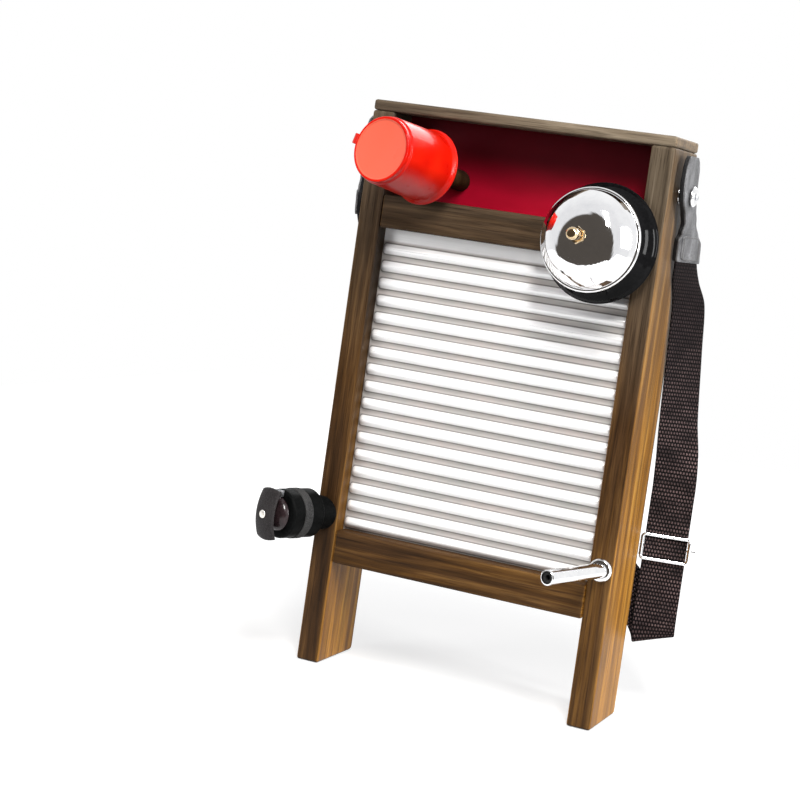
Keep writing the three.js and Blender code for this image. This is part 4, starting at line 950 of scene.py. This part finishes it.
def spline_point(points, station):
    """A point on the centripetal curve through the stations."""
    i = min(int(station), len(points) - 2)
    weight = station - i
    p1, p2 = points[i], points[i + 1]
    p0 = points[i - 1] if i > 0 else 2 * p1 - p2
    p3 = points[i + 2] if i + 2 < len(points) else 2 * p2 - p1
    d0, d1, d2 = (max((b - a).length_squared ** 0.25, 1e-4) for a, b in ((p0, p1), (p1, p2), (p2, p3)))
    start = ((p1 - p0) / d0 - (p2 - p0) / (d0 + d1) + (p2 - p1) / d1) * d1
    end = ((p2 - p1) / d1 - (p3 - p1) / (d1 + d2) + (p3 - p2) / d2) * d1
    square, cube = weight * weight, weight ** 3
    return (p1 + start * weight + (-3 * p1 + 3 * p2 - 2 * start - end) * square
            + (2 * p1 - 2 * p2 + start + end) * cube)


MIDDLES = [middle for middle, _ in STATIONS]
ACROSSES = [across for _, across in STATIONS]
NEARBY = 0.01


def strap_frame(station):
    """The strap's middle at a station, and its directions across and through."""
    middle = spline_point(MIDDLES, station)
    before, after = max(station - NEARBY, 0), min(station + NEARBY, LAST)
    along = spline_point(MIDDLES, after) - spline_point(MIDDLES, before)
    across = spline_point(ACROSSES, station).normalized()
    return middle, across, along.cross(across).normalized()


BAND_START, BAND_STEPS = 3.4, 300


def webbing():
    """The band, which starts and ends inside the pocket ends of the tabs."""
    shape = section(WEBBING, 1.8, 0.75, 3, 14)
    rings = [(*strap_frame(BAND_START + (LAST - 2 * BAND_START) * k / BAND_STEPS), shape)
             for k in range(BAND_STEPS + 1)]
    instead(strip("strap_band", rings, BOARD, WOVEN, sharp=70), "webbing", "strap_webbing")


# A tab's width as a share of its widest, by station
TAB_OUTLINE = [(0, 0.5), (0.1, 0.76), (0.3, 0.95), (0.65, 1), (1.2, 0.95), (1.7, 0.72), (2.15, 0.6),
               (2.6, 0.78), (2.95, 1), (3.5, 1), (3.9, 1), (4, 0.96)]
TAB_WIDEST, TAB_STEPS = 35, 72
WAIST = (1.2, 2.9)
TAB_BACK, TAB_SPLIT, TAB_FACE = -2.2, 0.55, 2.2
POCKET_START, POCKET_LENGTH, POCKET_STEPS = 2.62, 1.3, 30
POCKET_WIDTH, POCKET_OUT = 27.5, 2.5
STITCH_SIDE, STITCH_OUT = 11.8, 3.2
STITCH_RINGS = ((-1.0, 0.12), (-0.7, 0.32), (0.7, 0.32), (1.0, 0.12))
THREAD_SIDES = 6


def tab_width(place):
    for (a, low), (b, high) in zip(TAB_OUTLINE, TAB_OUTLINE[1:]):
        if place <= b:
            t = (place - a) / (b - a)
            t = t * t * (3 - 2 * t) if WAIST[0] <= a < WAIST[1] else t
            return TAB_WIDEST * (low + (high - low) * t)
    return TAB_WIDEST * TAB_OUTLINE[-1][1]


def tab(name, station_at, outward):
    """A leather tab: a grey grained face on a black backing, a stitched pocket end round the webbing."""
    layers = ((LEATHER, f"tab_face_{name}", TAB_SPLIT, TAB_FACE),
              (LEATHER_EDGE, f"tab_back_{name}", TAB_BACK, TAB_SPLIT))
    pieces = []
    for material, label, low, high in layers:
        rings = []
        for k in range(TAB_STEPS + 1):
            place = TAB_STATIONS * k / TAB_STEPS
            middle, across, through = strap_frame(station_at(place))
            rings.append((middle + through * outward * (low + high) / 2, across, through,
                          section(tab_width(place), high - low, 0.6, 3, 10)))
        pieces.append(strip(label, rings, BOARD, material))
    for piece in pieces:
        instead(piece, "leather", f"strap_tab_{name}")
    rings = []
    for k in range(POCKET_STEPS + 1):
        place = POCKET_START + POCKET_LENGTH * k / POCKET_STEPS
        middle, across, through = strap_frame(station_at(place))
        round_end = math.sqrt(max(1 - max(1 - k / 4, k / 4 - 6.5, 0) ** 2, 0.04))
        rings.append((middle + through * outward * POCKET_OUT, across, through,
                      section(POCKET_WIDTH * round_end, 1.4, 0.6, 4, 8)))
    strip(f"tab_pocket_{name}", rings, BOARD, LEATHER)
    stitches(f"tab_stitches_{name}", station_at, outward)


def stitches(name, station_at, outward):
    """Rows of thread just inside the edge of the pocket end, on the face of the tab."""
    runs = [(2.78 + 1.0 * k / 14, side * STITCH_SIDE) for side in (-1, 1) for k in range(15)]
    runs += [(place, -9.6 + 19.2 * k / 7) for place in (2.72, 3.84) for k in range(8)]
    points, faces = [], []
    for place, side in runs:
        middle, across, through = strap_frame(station_at(place))
        along = across.cross(through)
        run, width = (along, across) if abs(side) == STITCH_SIDE else (across, along)
        centre = middle + across * side + through * (outward * STITCH_OUT)
        faces.extend(stacked(len(points), len(STITCH_RINGS), THREAD_SIDES))
        for end, girth in STITCH_RINGS:
            for k in range(THREAD_SIDES):
                angle = 2 * math.pi * k / THREAD_SIDES
                points.append(centre + run * end + width * girth * math.cos(angle)
                              + through * girth * math.sin(angle))
    mesh_piece(name, points, faces, BOARD, THREAD)


BUCKLE = facing(STRAIGHT.x, STRAIGHT.y, 128, -STRAIGHT_TURN)
BUCKLE_WIRE, LUG_WIRE = 1.4, 0.8
BUCKLE_CORNER = 2.6


def buckle():
    """The wire frame and the lugs that hold its bar."""
    half_w, half_h, front = 16.3 + BUCKLE_WIRE, 10.5 - BUCKLE_WIRE, 1.2 + BUCKLE_WIRE
    ring = []
    for cx, cy, start in ((1, 1, 0), (-1, 1, 90), (-1, -1, 180), (1, -1, 270)):
        for k in range(9):
            angle = math.radians(start + 90 * k / 8)
            ring.append((cx * (half_w - BUCKLE_CORNER) + BUCKLE_CORNER * math.cos(angle),
                         cy * (half_h - BUCKLE_CORNER) + BUCKLE_CORNER * math.sin(angle), front))
    instead(wire("buckle_ring", ring, BUCKLE, CHROME, BUCKLE_WIRE, "buckle"), "chrome", "buckle_frame")
    for name, side in (("left", -1), ("right", 1)):
        loop = [(side * half_w, 2.2 * math.cos(math.radians(a)), -0.3 + 2.9 * math.sin(math.radians(a)))
                for a in range(0, 360, 15)]
        wire(f"buckle_lug_{name}", loop, BUCKLE, CHROME, LUG_WIRE, "buckle")
    dress(CHROME, "buckle_bar")


webbing()
tab("right", lambda place: place, 1)
tab("left", lambda place: LAST - place, -1)
buckle()


# Floor, light and background

FLOOR_SIZE, FLOOR_BACK, FLOOR_DROP = 2.2, 0.62, 0.0005
GLOW_START, GLOW_END = 0.25, 0.85


def floor():
    """White paper that keeps the object's shadow near it and is lost in the background far away."""
    bpy.ops.mesh.primitive_plane_add(size=FLOOR_SIZE, location=(0, FLOOR_BACK, -FLOOR_DROP))
    plane = bpy.context.object
    plane.name = "floor"
    material, tree, inputs = finish("floor", Base_Color=(0.42, 0.42, 0.42), Roughness=0.9,
                                    Specular_IOR_Level=0.0, Emission_Color=(1, 1, 1))
    away = measured(tree, "DISTANCE", coordinate(tree), (0, -FLOOR_BACK, 0))
    glow = ranged(tree, away, GLOW_START, GLOW_END, 0.68, 1.0)
    bounced = tree.nodes.new("ShaderNodeLightPath").outputs["Is Diffuse Ray"]
    kept = maths(tree, "SUBTRACT", 1.0, times(tree, bounced, 0.8))
    tree.links.new(times(tree, glow, kept), inputs["Emission Strength"])
    plane.data.materials.append(material)


def lamp(name, place, aim_up, size, power, colour=(1, 1, 1), shiny=True, lit=True):
    """A lamp aimed at a height on the frame's Z, with no highlights if not shiny, only those if not lit."""
    data = bpy.data.lights.new(name, "AREA")
    data.shape = "RECTANGLE"
    data.size, data.size_y = size
    data.energy = power
    data.color = colour
    light = bpy.data.objects.new(name, data)
    light.location = place
    light.rotation_euler = (Vector((0, 0, aim_up)) - Vector(place)).to_track_quat("-Z", "Y").to_euler()
    light.visible_glossy = shiny
    light.visible_diffuse = lit
    bpy.context.collection.objects.link(light)


ROOM_MIDDLE = Vector((-0.12, -0.98, -0.16)).normalized()
ROOM_EDGE = (0.58, 0.62)
STUDIO_BACK = (-0.35, 0.3)


def world():
    """White for the camera. Gloss sees a white studio with a dark room in front of the board."""
    surround = bpy.data.worlds.new("studio")
    surround.use_nodes = True
    bpy.context.scene.world = surround
    tree = surround.node_tree
    shader = tree.nodes["Background"]
    direction = coordinate(tree, "Generated")
    towards = measured(tree, "DOT_PRODUCT", direction, ROOM_MIDDLE)
    dark_room = ramp(tree, towards, [(ROOM_EDGE[0], 0.0), (ROOM_EDGE[1], 1.0)])
    behind = ranged(tree, parts(tree, direction)[1], *STUDIO_BACK)
    studio = mixed(tree, behind, (0.86, 0.86, 0.87), (1.0, 1.0, 1.0))
    room = mixed(tree, dark_room, studio, (0.085, 0.074, 0.064))
    path = tree.nodes.new("ShaderNodeLightPath")
    seen = mixed(tree, path.outputs["Is Diffuse Ray"], room, (0.26, 0.26, 0.27))
    seen = mixed(tree, path.outputs["Is Camera Ray"], seen, (1.0, 1.0, 1.0))
    tree.links.new(seen, shader.inputs["Color"])
    shader.inputs["Strength"].default_value = 1.0


def lights():
    lamp("key", (0.6, -1.25, 1.7), aim_up=0.2, size=(0.35, 1.0), power=49, colour=(1.0, 0.985, 0.96))
    lamp("rim", (0.2, 1.6, 1.35), aim_up=0.35, size=(1.4, 0.6), power=16, lit=False)
    lamp("side", (1.7, -0.35, 0.75), aim_up=0.2, size=(0.35, 1.1), power=27)
    lamp("fill", (-1.2, -1.6, 0.7), aim_up=0.22, size=(0.7, 0.9), power=17, shiny=False)


add_camera()
floor()
lights()
world()
bpy.context.scene.view_settings.view_transform = "Standard"
